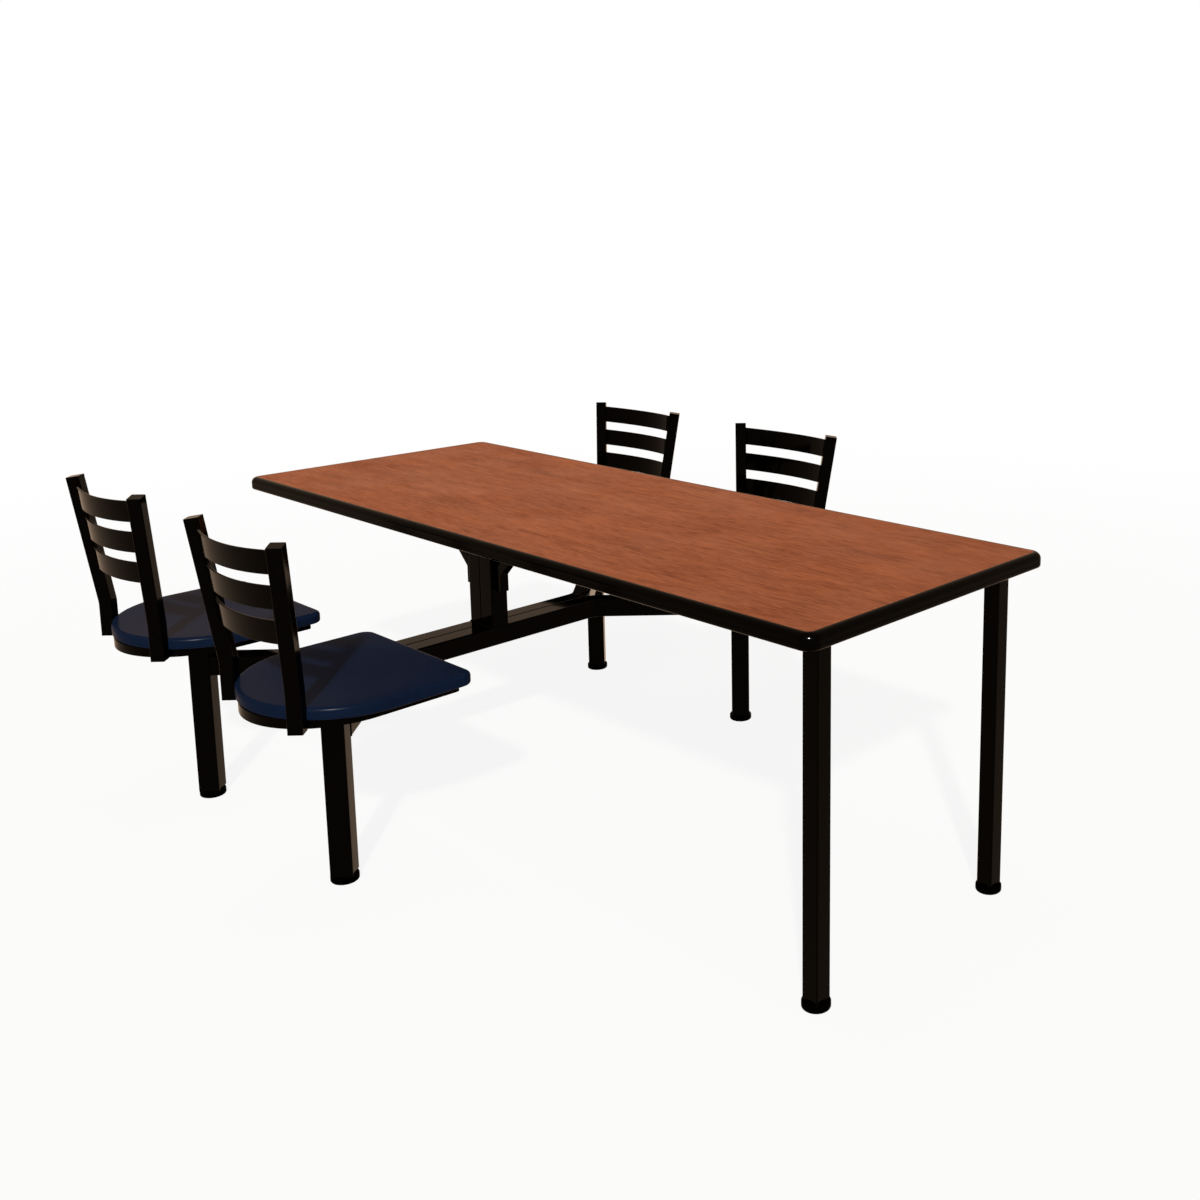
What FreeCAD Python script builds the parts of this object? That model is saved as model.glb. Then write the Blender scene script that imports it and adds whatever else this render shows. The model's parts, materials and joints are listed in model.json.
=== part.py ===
import FreeCAD, Part
import math
import os
import Sketcher

# Table with four attached swivel seats, in millimetres.
# The origin is on the floor under the middle of the table top: X runs along the top towards its
# two plain legs, Y across it and Z up. A seat's own frame has its origin on the floor under the
# swivel, with Y towards the table.

SIZES = {
    # table top
    "table_height": (762.0, "floor to the top of the laminate"),
    "top_length": (2040.0, "table top, over the edge band"),
    "top_width": (762.0, "table top, over the edge band"),
    "top_corner": (29.5, "outer corner radius of the edge band"),
    "edge_width": (15.9, "edge band, from the core outwards"),
    "edge_flat": (1.9, "level strip between the core and the band's top round"),
    "edge_foot": (6.0, "radius of the edge band's bottom round"),
    "groove_rise": (11.0, "parting groove, above the underside"),
    "groove_height": (1.2, "parting groove"),
    "groove_depth": (0.8, "parting groove"),
    "core_depth": (30.8, "particle board core"),
    "laminate_depth": (1.2, "decorative sheet on top"),
    "backer_depth": (0.8, "balancing sheet below"),
    # plain legs at one end
    "end_leg_end_inset": (63.8, "end legs, in from the end of the top"),
    "end_leg_side_inset": (91.4, "end legs, in from the sides of the top"),
    "end_leg_side": (38.1, "square tube"),
    "end_leg_wall": (2.0, "square tube"),
    "end_leg_inner_corner": (0.8, "inside corner radius"),
    "end_plate_side": (90.0, "mounting plate of an end leg"),
    "end_plate_depth": (5.0, "mounting plate of an end leg"),
    "end_plate_corner": (8.0, "mounting plate of an end leg"),
    "end_plate_inset": (12.0, "screws from the sides of an end leg's plate"),
    # pedestal under the other end
    "pedestal_inset": (551.1, "middle of the pedestal, in from the end of the top"),
    "seat_spacing": (654.3, "between swivel axes along the table"),
    "seat_reach": (635.0, "swivel axes, either side of the middle"),
    "beam_side": (50.8, "square tube of beams, column and seat legs"),
    "beam_wall": (2.5, "square tube"),
    "beam_inner_corner": (0.8, "inside corner radius"),
    "beam_level": (351.0, "floor to the middle of the beams"),
    "beam_bend": (65.0, "bend radius of the beams' centre line"),
    "arm_angle": (45.0, "turn of each arm away from the beam"),
    "plate_margin": (15.0, "pedestal top plate, beyond the braces"),
    "plate_width": (120.0, "pedestal top plate"),
    "plate_depth": (5.0, "pedestal top plate"),
    "plate_corner": (10.0, "pedestal top plate"),
    "plate_inset": (17.0, "screws from the sides of the pedestal plate"),
    "brace_width": (19.05, "brace bar, across the table"),
    "brace_depth": (15.9, "brace bar, along the table"),
    "brace_foot": (48.3, "upright part of a brace, below its bend"),
    "brace_rise": (200.4, "leaning part of a brace, above its bend"),
    # wood screws
    "screw_shank": (4.8, "diameter"),
    "screw_head": (9.6, "diameter"),
    "screw_head_depth": (3.2, "height of the head"),
    "screw_bite": (20.0, "depth of the shank in the core"),
    "screw_clearance": (0.6, "hole in a plate, over the shank's diameter"),
    # glides
    "leg_rise": (17.0, "floor to the lower end of every leg tube"),
    "end_glide_width": (57.0, "diameter of an end leg's glide"),
    "seat_glide_width": (63.0, "diameter of a seat leg's glide"),
    "glide_foot": (4.0, "radius of the glide's lower round"),
    "glide_crown": (5.0, "radius of the glide's upper round"),
    # swivel
    "seat_leg_stub": (15.6, "seat leg above the beams' arms"),
    "swivel_flange_depth": (6.0, "flange welded on the leg"),
    "swivel_flange_margin": (4.0, "flange beyond the stop pin"),
    "spindle_radius": (12.7, "spindle"),
    "spindle_fit": (0.05, "radial running clearance in the hub"),
    "spindle_shoulder": (2.7, "width of the shoulder under the nut"),
    "spindle_tip": (1.5, "spindle beyond its nut"),
    "nut_flats": (30.0, "retaining nut, across the flats"),
    "nut_depth": (6.5, "retaining nut"),
    "nut_clearance": (2.7, "around the nut's corners"),
    "nut_headroom": (3.7, "above the nut"),
    "washer_width": (10.3, "thrust washer, beyond the spindle"),
    "washer_depth": (3.0, "thrust washer"),
    "running_gap": (0.3, "between turning faces"),
    "hub_wall": (2.5, "hub sleeve around the nut's room"),
    "hub_plate_side": (140.0, "plate under the seat pan"),
    "hub_plate_corner": (12.0, "plate under the seat pan"),
    "hub_plate_depth": (6.0, "plate under the seat pan"),
    "stop_gap": (9.2, "between the hub sleeve and the stop pin"),
    "stop_pin_radius": (4.0, "stop pin"),
    "stop_pin_length": (12.0, "stop pin above the flange"),
    "stop_sector_reach": (6.0, "stop sector beyond the middle of the pin"),
    "stop_sector_depth": (8.0, "stop sector"),
    "seat_swing": (90.0, "swing of a seat, in degrees each way"),
    # seat
    "swivel_rise": (40.1, "top of a seat leg to the pan's lower edge"),
    "shell_depth": (27.4, "seat shell"),
    "shell_half_width": (222.0, "seat shell, at its sides"),
    "shell_front": (217.8, "seat shell, ahead of the swivel axis"),
    "shell_side_end": (22.3, "where the sides turn into the round back"),
    "shell_back": (216.4, "half axis of the round back"),
    "shell_corner": (31.5, "front corner radius"),
    "shell_crown": (9.0, "radius of the upper rim"),
    "shell_foot": (6.0, "radius of the lower rim"),
    "dish_radius": (185.0, "dished area of the seat"),
    "dish_depth": (2.5, "dished area of the seat"),
    "pan_depth": (22.4, "pan, over its skirt"),
    "pan_sheet": (3.0, "thickness of the pan's sheet"),
    "pan_side_inset": (38.9, "pan, inside the shell's sides"),
    "pan_front_inset": (14.0, "pan, behind the shell's front"),
    "pan_side_lag": (20.0, "pan's round back, starting behind the shell's"),
    "pan_corner": (12.0, "front corner radius"),
    "lug_angle": (43.55, "lugs on the round back, in degrees from its rear"),
    "lug_length": (10.2, "lug from pan to upright"),
    "lug_width": (25.4, "lug from pan to upright"),
    "lug_inset": (3.0, "lug below the pan's top"),
    "lug_bite": (1.5, "overlap of a lug with the pan's skirt"),
    "notch_clearance": (0.5, "between seat shell and upright"),
    # back
    "upright_side": (31.75, "square tube of the uprights"),
    "upright_wall": (1.8, "square tube"),
    "upright_inner_corner": (0.6, "inside corner radius"),
    "upright_inset": (3.3, "upright's lower end, above the pan's edge"),
    "upright_foot": (86.3, "straight foot of an upright, up to the bend"),
    "upright_rise": (317.1, "leaning part of an upright, above the bend"),
    "upright_bend": (90.0, "bend radius of the centre line"),
    "upright_spread": (36.2, "top end, outwards and backwards each"),
    "slat_height": (50.8, "rolled flat bar"),
    "slat_depth": (4.8, "rolled flat bar"),
    "slat_gap": (25.4, "between slats"),
    "slat_radius": (423.0, "rear face of the slats"),
    "slat_margin": (12.0, "upright's end above the top slat"),
}

SEATS = {
    "near_right": (1, -1),
    "near_left": (-1, -1),
    "far_left": (-1, 1),
    "far_right": (1, 1),
}

doc = FreeCAD.newDocument("SwivelSeatTable")
sheet = doc.addObject("Spreadsheet::Sheet", "Sizes")
value = {}


def write_cell(row, alias, number, note):
    """Put one size on the sheet, with its note and alias."""
    sheet.set("A%d" % row, note)
    sheet.set("B%d" % row, repr(round(number, 6)))
    sheet.setAlias("B%d" % row, alias)
    value[alias] = round(number, 6)


for row, (alias, (number, note)) in enumerate(SIZES.items(), start=1):
    write_cell(row, alias, number, note)
doc.recompute()

v = value
# part of a diagonal length that runs along either axis
diagonal_share = math.sqrt(0.5)
nut_corner_radius = v["nut_flats"] / math.sqrt(3)
lug_turn = math.radians(v["lug_angle"])
WORKED = {
    # table top
    "top_depth": v["core_depth"] + v["laminate_depth"] + v["backer_depth"],
    "core_length": v["top_length"] - 2 * v["edge_width"],
    "core_width": v["top_width"] - 2 * v["edge_width"],
    "core_corner": v["top_corner"] - v["edge_width"],
    "edge_crown": v["edge_width"] - v["edge_flat"],
    "groove_length": v["top_length"] - 2 * v["groove_depth"],
    "groove_width": v["top_width"] - 2 * v["groove_depth"],
    "groove_corner": v["top_corner"] - v["groove_depth"],
    # places along and across the top
    "end_leg_x": v["top_length"] / 2 - v["end_leg_end_inset"],
    "end_leg_y": v["top_width"] / 2 - v["end_leg_side_inset"],
    "pedestal_x": v["pedestal_inset"] - v["top_length"] / 2,
    # tubes
    "end_leg_bore": v["end_leg_side"] - 2 * v["end_leg_wall"],
    "end_leg_corner": v["end_leg_inner_corner"] + v["end_leg_wall"],
    "beam_bore": v["beam_side"] - 2 * v["beam_wall"],
    "beam_corner": v["beam_inner_corner"] + v["beam_wall"],
    "beam_half": v["beam_side"] / 2,
    "beam_top": v["beam_level"] + v["beam_side"] / 2,
    "upright_bore": v["upright_side"] - 2 * v["upright_wall"],
    "upright_corner": v["upright_inner_corner"] + v["upright_wall"],
    # plates and screws
    "plate_length": 2 * (v["beam_side"] + v["brace_rise"] + v["brace_depth"] * math.sqrt(2)
                         + v["plate_margin"]),
    "screw_radius": v["screw_shank"] / 2,
    "screw_head_radius": v["screw_head"] / 2,
    "plate_hole_radius": (v["screw_shank"] + v["screw_clearance"]) / 2,
    # swivel
    "spindle_end_radius": v["spindle_radius"] - v["spindle_shoulder"],
    "hub_bore_radius": v["spindle_radius"] + v["spindle_fit"],
    "nut_room_radius": nut_corner_radius + v["nut_clearance"],
    "nut_room_depth": v["running_gap"] + v["nut_depth"] + v["nut_headroom"],
    "washer_radius": v["spindle_radius"] + v["washer_width"],
    # seat
    "pan_half_width": v["shell_half_width"] - v["pan_side_inset"],
    "pan_front": v["shell_front"] - v["pan_front_inset"],
    "pan_side_end": v["shell_side_end"] - v["pan_side_lag"],
    "pan_back": v["shell_back"] - v["pan_side_lag"],
    "pan_inside": v["pan_depth"] - v["pan_sheet"],
    "lug_depth": v["pan_depth"] - v["upright_inset"] - v["lug_inset"],
    "notch_side": v["upright_side"] + 2 * v["notch_clearance"],
    # back
    "back_rake": math.degrees(math.atan(v["upright_spread"] / v["upright_rise"])),
    "upright_lean": math.degrees(math.atan(v["upright_spread"] / v["upright_rise"]
                                           / diagonal_share)),
}
w = WORKED
w["underside"] = v["table_height"] - w["top_depth"]
w["end_leg_length"] = w["underside"] - v["end_plate_depth"] - v["leg_rise"]
w["end_screw_pitch"] = v["end_plate_side"] - 2 * v["end_plate_inset"]
w["plate_screw_pitch_x"] = w["plate_length"] - 2 * v["plate_inset"]
w["plate_screw_pitch_y"] = v["plate_width"] - 2 * v["plate_inset"]
w["column_top"] = w["underside"] - v["plate_depth"]
w["column_length"] = w["column_top"] - w["beam_top"]
w["seat_leg_top"] = w["beam_top"] + v["seat_leg_stub"]
w["seat_leg_length"] = w["seat_leg_top"] - v["leg_rise"]
w["hub_radius"] = w["nut_room_radius"] + v["hub_wall"]
w["stop_orbit"] = w["hub_radius"] + v["stop_gap"] + v["stop_pin_radius"]
w["stop_sector_radius"] = w["stop_orbit"] + v["stop_sector_reach"]
w["stop_half_angle"] = 180 - v["seat_swing"] - math.degrees(
    math.asin(v["stop_pin_radius"] / w["stop_orbit"]) + v["running_gap"] / w["stop_orbit"])
w["flange_radius"] = w["stop_orbit"] + v["stop_pin_radius"] + v["swivel_flange_margin"]
w["washer_level"] = w["seat_leg_top"] + v["swivel_flange_depth"]
w["hub_low"] = w["washer_level"] + v["washer_depth"] + v["running_gap"]
w["pan_level"] = w["seat_leg_top"] + v["swivel_rise"]
w["pan_top"] = w["pan_level"] + v["pan_depth"]
w["hub_top"] = w["pan_top"] - v["pan_sheet"]
w["hub_plate_low"] = w["hub_top"] - v["hub_plate_depth"]
w["nut_room_low"] = w["hub_top"] - w["nut_room_depth"]
w["nut_level"] = w["nut_room_low"] + v["running_gap"]
w["spindle_high"] = w["nut_level"] + v["nut_depth"] + v["spindle_tip"]
w["upright_reach"] = (v["lug_length"] + v["upright_side"] / 2) * diagonal_share
w["upright_x"] = w["pan_half_width"] * math.sin(lug_turn) + w["upright_reach"]
w["upright_y"] = w["pan_back"] * math.cos(lug_turn) - w["pan_side_end"] + w["upright_reach"]
w["upright_low"] = w["pan_level"] + v["upright_inset"]
w["upright_bend_level"] = w["upright_low"] + v["upright_foot"]
for row, (alias, number) in enumerate(WORKED.items(), start=len(SIZES) + 1):
    write_cell(row, alias, number, "worked out from the sizes above")
doc.recompute()


# ---------------------------------------------------------------------------
# helpers


def bind(feature, path, formula):
    """Tie one property of a feature to the sheet."""
    feature.setExpression(path, formula)


def new_body(label):
    """Start a sub-part."""
    body = doc.addObject("PartDesign::Body", label)
    body.Label = label
    return body


def new_sketch(body, name, role="XY_Plane", lift=None, offset=None):
    """Sketch on one of the body's own origin planes, lifted by a named size or turned by offset."""
    sketch = body.newObject("Sketcher::SketchObject", name)
    plane = [item for item in body.Origin.OriginFeatures if item.Role == role][0]
    sketch.AttachmentSupport = [(plane, "")]
    sketch.MapMode = "FlatFace"
    if offset is not None:
        sketch.AttachmentOffset = offset
    if lift is not None:
        bind(sketch, "AttachmentOffset.Base.z", lift)
    return sketch


def dimension(sketch, constraint, name, formula):
    """Add a named dimension that the sheet drives."""
    index = sketch.addConstraint(constraint)
    sketch.renameConstraint(index, name)
    if formula is not None:
        bind(sketch, "Constraints." + name, formula)


def corner_points(half_x, half_y):
    """Corners of a rectangle about the origin, turning left."""
    return [(-half_x, -half_y), (half_x, -half_y), (half_x, half_y), (-half_x, half_y)]


def draw_rectangle(sketch, prefix, length, width):
    """Rectangle about the origin, driven by two named sizes."""
    points = [FreeCAD.Vector(x, y, 0) for x, y in corner_points(v[length] / 2, v[width] / 2)]
    sides = [sketch.addGeometry(Part.LineSegment(points[i], points[(i + 1) % 4])) for i in range(4)]
    for i in range(4):
        sketch.addConstraint(Sketcher.Constraint("Coincident", sides[i], 2, sides[(i + 1) % 4], 1))
    for i in (0, 2):
        sketch.addConstraint(Sketcher.Constraint("Horizontal", sides[i]))
        sketch.addConstraint(Sketcher.Constraint("Vertical", sides[i + 1]))
    sketch.addConstraint(Sketcher.Constraint("Symmetric", sides[0], 1, sides[2], 1, -1, 1))
    across = Sketcher.Constraint("DistanceX", sides[0], 1, sides[0], 2, v[length])
    along = Sketcher.Constraint("DistanceY", sides[1], 1, sides[1], 2, v[width])
    dimension(sketch, across, prefix + "_length", "Sizes." + length)
    dimension(sketch, along, prefix + "_width", "Sizes." + width)


def draw_rounded_rectangle(sketch, prefix, length, width, corner):
    """Rectangle about the origin with round corners, driven by three named sizes."""
    half_x = v[length] / 2
    half_y = v[width] / 2
    radius = v[corner]
    up = FreeCAD.Vector(0, 0, 1)
    lines = []
    arcs = []
    corners = corner_points(half_x, half_y)
    for i, (x, y) in enumerate(corners):
        following = corners[(i + 1) % 4]
        along = FreeCAD.Vector(following[0] - x, following[1] - y, 0).normalize() * radius
        start = FreeCAD.Vector(x, y, 0) + along
        end = FreeCAD.Vector(following[0], following[1], 0) - along
        lines.append(sketch.addGeometry(Part.LineSegment(start, end)))
    for i, (x, y) in enumerate(corners):
        centre = FreeCAD.Vector(x - math.copysign(radius, x), y - math.copysign(radius, y), 0)
        first = math.radians(180 + 90 * i)
        arc = Part.ArcOfCircle(Part.Circle(centre, up, radius), first, first + math.pi / 2)
        arcs.append(sketch.addGeometry(arc))
    for i in range(4):
        sketch.addConstraint(Sketcher.Constraint("Tangent", arcs[i], 2, lines[i], 1))
        sketch.addConstraint(Sketcher.Constraint("Tangent", lines[i - 1], 2, arcs[i], 1))
    for i in (0, 2):
        sketch.addConstraint(Sketcher.Constraint("Horizontal", lines[i]))
        sketch.addConstraint(Sketcher.Constraint("Vertical", lines[i + 1]))
    for i in range(1, 4):
        sketch.addConstraint(Sketcher.Constraint("Equal", arcs[0], arcs[i]))
    sketch.addConstraint(Sketcher.Constraint("Symmetric", lines[0], 1, lines[2], 1, -1, 1))
    across = Sketcher.Constraint("DistanceX", lines[3], 1, lines[1], 1, v[length])
    along = Sketcher.Constraint("DistanceY", lines[0], 1, lines[2], 1, v[width])
    dimension(sketch, across, prefix + "_length", "Sizes." + length)
    dimension(sketch, along, prefix + "_width", "Sizes." + width)
    dimension(sketch, Sketcher.Constraint("Radius", arcs[0], radius), prefix + "_corner",
              "Sizes." + corner)


def draw_circle(sketch, name, radius, x=0.0, y=0.0):
    """Circle driven by a named radius, with its centre at x, y."""
    circle = Part.Circle(FreeCAD.Vector(x, y, 0), FreeCAD.Vector(0, 0, 1), v[radius])
    index = sketch.addGeometry(circle)
    sketch.addConstraint(Sketcher.Constraint("DistanceX", -1, 1, index, 3, x))
    sketch.addConstraint(Sketcher.Constraint("DistanceY", -1, 1, index, 3, y))
    dimension(sketch, Sketcher.Constraint("Radius", index, v[radius]), name, "Sizes." + radius)


def draw_polygon(sketch, points):
    """Closed run of straight lines through the points."""
    corners = [FreeCAD.Vector(x, y, 0) for x, y in points]
    count = len(corners)
    lines = [sketch.addGeometry(Part.LineSegment(corners[i], corners[(i + 1) % count]))
             for i in range(count)]
    for i in range(count):
        sketch.addConstraint(Sketcher.Constraint("Coincident", lines[i], 2, lines[(i + 1) % count], 1))
    return lines


def pad(body, sketch, name, length, reverse=False, midplane=False):
    """Pad a sketch by a formula on the sheet."""
    feature = body.newObject("PartDesign::Pad", name)
    feature.Profile = sketch
    bind(feature, "Length", length)
    feature.Reversed = reverse
    feature.Midplane = midplane
    sketch.Visibility = False
    return feature


def pocket(body, sketch, name, length=None, reverse=False, midplane=False):
    """Pocket a sketch by a formula on the sheet, or through everything."""
    feature = body.newObject("PartDesign::Pocket", name)
    feature.Profile = sketch
    if length is None:
        feature.Type = "ThroughAll"
    else:
        bind(feature, "Length", length)
    feature.Reversed = reverse
    feature.Midplane = midplane
    sketch.Visibility = False
    return feature


def pipe(body, kind, name, profile, path):
    """Sweep a profile along a path, adding or cutting."""
    feature = body.newObject("PartDesign::" + kind, name)
    feature.Profile = profile
    feature.Spine = (path, [])
    profile.Visibility = False
    path.Visibility = False
    return feature


def fillet(body, name, radius, test):
    """Round the edges that pass the test."""
    doc.recompute()
    base = body.Tip
    names = ["Edge%d" % (i + 1) for i, edge in enumerate(base.Shape.Edges) if test(edge)]
    feature = body.newObject("PartDesign::Fillet", name)
    feature.Base = (base, names)
    bind(feature, "Radius", radius)
    return feature


def lies_at(edge, level):
    """Whether a whole edge lies at one height."""
    box = edge.BoundBox
    return abs(box.ZMin - level) < 1e-4 and abs(box.ZMax - level) < 1e-4


def place(body, x="0", y="0", z="0", turn=0.0, tilt=0.0):
    """Put a sub-part at formulas of the sheet, turned about Z after tilting about its own X."""
    rotation = FreeCAD.Rotation(FreeCAD.Vector(0, 0, 1), turn)
    rotation = rotation.multiply(FreeCAD.Rotation(FreeCAD.Vector(1, 0, 0), tilt))
    body.Placement = FreeCAD.Placement(FreeCAD.Vector(0, 0, 0), rotation)
    bind(body, "Placement.Base.x", x)
    bind(body, "Placement.Base.y", y)
    bind(body, "Placement.Base.z", z)


def square_tube(label, side, corner, bore, bore_corner, length):
    """Straight hollow square tube that stands on its own XY plane."""
    body = new_body(label)
    section = new_sketch(body, label + "_section")
    draw_rounded_rectangle(section, "outside", side, side, corner)
    draw_rounded_rectangle(section, "inside", bore, bore, bore_corner)
    pad(body, section, label + "_length", length)
    return body


# ---------------------------------------------------------------------------
# screws: where they stand, and the holes that they need


def rectangle_of(pitch_x, pitch_y, x=0.0, y=0.0):
    """Centres of four screws about x, y."""
    return [(x + i * pitch_x / 2, y + j * pitch_y / 2) for i in (-1, 1) for j in (-1, 1)]


def end_plate_screws(x=0.0, y=0.0):
    """Screws of one end leg's plate."""
    return rectangle_of(v["end_screw_pitch"], v["end_screw_pitch"], x, y)


def pedestal_plate_screws(x=0.0):
    """Screws of the pedestal's plate: a rectangle and a pair between."""
    pair = [(x, j * v["plate_screw_pitch_y"] / 2) for j in (-1, 1)]
    return rectangle_of(v["plate_screw_pitch_x"], v["plate_screw_pitch_y"], x) + pair


def all_screws():
    """Every screw in the underside, with the depth of the plate that it holds."""
    screws = [(x, y, v["plate_depth"]) for x, y in pedestal_plate_screws(v["pedestal_x"])]
    for side in (-1, 1):
        plate = end_plate_screws(v["end_leg_x"], side * v["end_leg_y"])
        screws += [(x, y, v["end_plate_depth"]) for x, y in plate]
    return screws


def drill(body, name, centres, radius, length=None):
    """Round holes upwards from the body's lower face."""
    sketch = new_sketch(body, name + "_centres")
    for i, (x, y) in enumerate(centres):
        draw_circle(sketch, "radius_%d" % i, radius, x, y)
    return pocket(body, sketch, name, length, reverse=True)


# ---------------------------------------------------------------------------
# table top


def build_sheet(label, depth, level, drilled):
    """One layer of the table top, drilled from below where the screws reach it."""
    body = new_body(label)
    outline = new_sketch(body, label + "_outline")
    draw_rounded_rectangle(outline, "sheet", "core_length", "core_width", "core_corner")
    pad(body, outline, label + "_sheet", "Sizes." + depth)
    if drilled:
        centres = [(x, y) for x, y, plate in all_screws()]
        drill(body, label + "_pilot", centres, "screw_radius", drilled)
    place(body, z=level)


def build_edge_band():
    """Moulded band around the core, with a round crown and a parting groove."""
    body = new_body("tabletop_edge")
    outline = new_sketch(body, "edge_outline")
    draw_rounded_rectangle(outline, "outside", "top_length", "top_width", "top_corner")
    pad(body, outline, "edge_block", "Sizes.top_depth")
    opening = new_sketch(body, "edge_opening")
    draw_rounded_rectangle(opening, "inside", "core_length", "core_width", "core_corner")
    pocket(body, opening, "edge_core_room", reverse=True)
    middle_x = (v["top_length"] - v["edge_width"]) / 2
    middle_y = (v["top_width"] - v["edge_width"]) / 2

    def on_rim(edge, level):
        box = edge.BoundBox
        beyond_x = max(abs(box.XMin), abs(box.XMax)) > middle_x
        beyond_y = max(abs(box.YMin), abs(box.YMax)) > middle_y
        return lies_at(edge, level) and (beyond_x or beyond_y)

    fillet(body, "edge_crown_round", "Sizes.edge_crown", lambda edge: on_rim(edge, v["top_depth"]))
    fillet(body, "edge_foot_round", "Sizes.edge_foot", lambda edge: on_rim(edge, 0))
    groove = new_sketch(body, "edge_groove_outline", lift="Sizes.groove_rise")
    draw_rounded_rectangle(groove, "rim", "top_length", "top_width", "top_corner")
    draw_rounded_rectangle(groove, "floor", "groove_length", "groove_width", "groove_corner")
    pocket(body, groove, "edge_groove", "Sizes.groove_height", reverse=True)
    place(body, z="Sizes.underside")


def build_table_top():
    """Backer, core, laminate and edge band."""
    build_sheet("tabletop_backer", "backer_depth", "Sizes.underside", "Sizes.backer_depth")
    build_sheet("tabletop_core", "core_depth", "Sizes.underside + Sizes.backer_depth",
                "Sizes.screw_bite")
    build_sheet("tabletop_laminate", "laminate_depth", "Sizes.table_height - Sizes.laminate_depth",
                None)
    build_edge_band()


# ---------------------------------------------------------------------------
# end legs and fasteners


def build_end_leg(name, side):
    """Square tube leg with its mounting plate."""
    x = "Sizes.end_leg_x"
    y = "%d * Sizes.end_leg_y" % side
    tube = square_tube("table_leg_" + name, "end_leg_side", "end_leg_corner", "end_leg_bore",
                       "end_leg_inner_corner", "Sizes.end_leg_length")
    place(tube, x, y, "Sizes.leg_rise")
    plate = new_body("table_leg_plate_" + name)
    outline = new_sketch(plate, "plate_outline_" + name)
    draw_rounded_rectangle(outline, "plate", "end_plate_side", "end_plate_side", "end_plate_corner")
    pad(plate, outline, "plate_sheet_" + name, "Sizes.end_plate_depth")
    drill(plate, "plate_holes_" + name, end_plate_screws(), "plate_hole_radius")
    place(plate, x, y, "Sizes.underside - Sizes.end_plate_depth")


def build_screws():
    """Pan-head wood screws in one group."""
    screws = []
    for x, y, plate in all_screws():
        seat = v["underside"] - plate
        shank_length = plate + v["backer_depth"] + v["screw_bite"]
        shank = Part.makeCylinder(v["screw_radius"], shank_length, FreeCAD.Vector(x, y, seat))
        head_low = FreeCAD.Vector(x, y, seat - v["screw_head_depth"])
        head = Part.makeCylinder(v["screw_head_radius"], v["screw_head_depth"], head_low)
        lower_rim = [edge for edge in head.Edges if lies_at(edge, head_low.z)]
        head = head.makeFillet(v["screw_head_depth"] / 2, lower_rim)
        screws.append(head.fuse(shank).removeSplitter())
    add_group("underside_screws", screws)


def seat_spots():
    """Swivel axes of the four seats."""
    half_spacing = v["seat_spacing"] / 2
    return [(v["pedestal_x"] + along * half_spacing, across * v["seat_reach"])
            for along, across in SEATS.values()]


def add_group(label, solids):
    """Several like solids as one sub-part."""
    group = doc.addObject("Part::Feature", label)
    group.Label = label
    group.Shape = Part.makeCompound(solids)


def build_glides(label, radius, spots):
    """Round glides on the floor, each with its top at a tube's lower end."""
    disc = Part.makeCylinder(radius, v["leg_rise"])
    disc = disc.makeFillet(v["glide_foot"], [edge for edge in disc.Edges if lies_at(edge, 0)])
    top = [edge for edge in disc.Edges if lies_at(edge, v["leg_rise"])]
    disc = disc.makeFillet(v["glide_crown"], top)
    add_group(label, [disc.translated(FreeCAD.Vector(x, y, 0)) for x, y in spots])


# ---------------------------------------------------------------------------
# pedestal


def draw_beam_path(sketch):
    """Half of a beam's centre line: straight along the beam, a bend, and the arm to a seat leg."""
    turn = math.radians(v["arm_angle"])
    radius = v["beam_bend"]
    half_side = v["beam_side"] / 2
    across = v["seat_spacing"] / 2 - half_side
    bend_y = v["seat_reach"] - across / math.tan(turn)
    tangent = radius * math.tan(turn / 2)
    arm = FreeCAD.Vector(math.sin(turn), math.cos(turn), 0)
    vertex = FreeCAD.Vector(0, bend_y, 0)
    leg = FreeCAD.Vector(across, v["seat_reach"], 0)
    first = FreeCAD.Vector(0, bend_y - tangent, 0)
    last = vertex + arm * tangent
    centre = FreeCAD.Vector(radius, first.y, 0)
    arc = Part.ArcOfCircle(Part.Circle(centre, FreeCAD.Vector(0, 0, 1), radius),
                           math.pi - turn, math.pi)
    beam = sketch.addGeometry(Part.LineSegment(FreeCAD.Vector(0, 0, 0), first))
    bend = sketch.addGeometry(arc)
    limb = sketch.addGeometry(Part.LineSegment(last, leg - arm * half_side))
    sketch.addConstraint(Sketcher.Constraint("Coincident", beam, 1, -1, 1))
    sketch.addConstraint(Sketcher.Constraint("Vertical", beam))
    sketch.addConstraint(Sketcher.Constraint("Tangent", beam, 2, bend, 2))
    sketch.addConstraint(Sketcher.Constraint("Tangent", bend, 1, limb, 1))
    dimension(sketch, Sketcher.Constraint("Radius", bend, radius), "bend", "Sizes.beam_bend")


def build_beam(name, turn):
    """Bent beam tube with an arm to a seat leg at either end."""
    label = "beam_tube_" + name
    body = new_body(label)
    section = new_sketch(body, label + "_section", "XZ_Plane")
    draw_rounded_rectangle(section, "outside", "beam_side", "beam_side", "beam_corner")
    draw_rounded_rectangle(section, "inside", "beam_bore", "beam_bore", "beam_inner_corner")
    path = new_sketch(body, label + "_path")
    draw_beam_path(path)
    half = pipe(body, "AdditivePipe", label + "_half", section, path)
    mirror = body.newObject("PartDesign::Mirrored", label + "_mirror")
    mirror.Originals = [half]
    plane = [item for item in body.Origin.OriginFeatures if item.Role == "XZ_Plane"][0]
    mirror.MirrorPlane = (plane, [""])
    body.Tip = mirror
    side = 1 if turn == 0 else -1
    place(body, "Sizes.pedestal_x + %d * Sizes.beam_half" % side, z="Sizes.beam_level", turn=turn)


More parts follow.
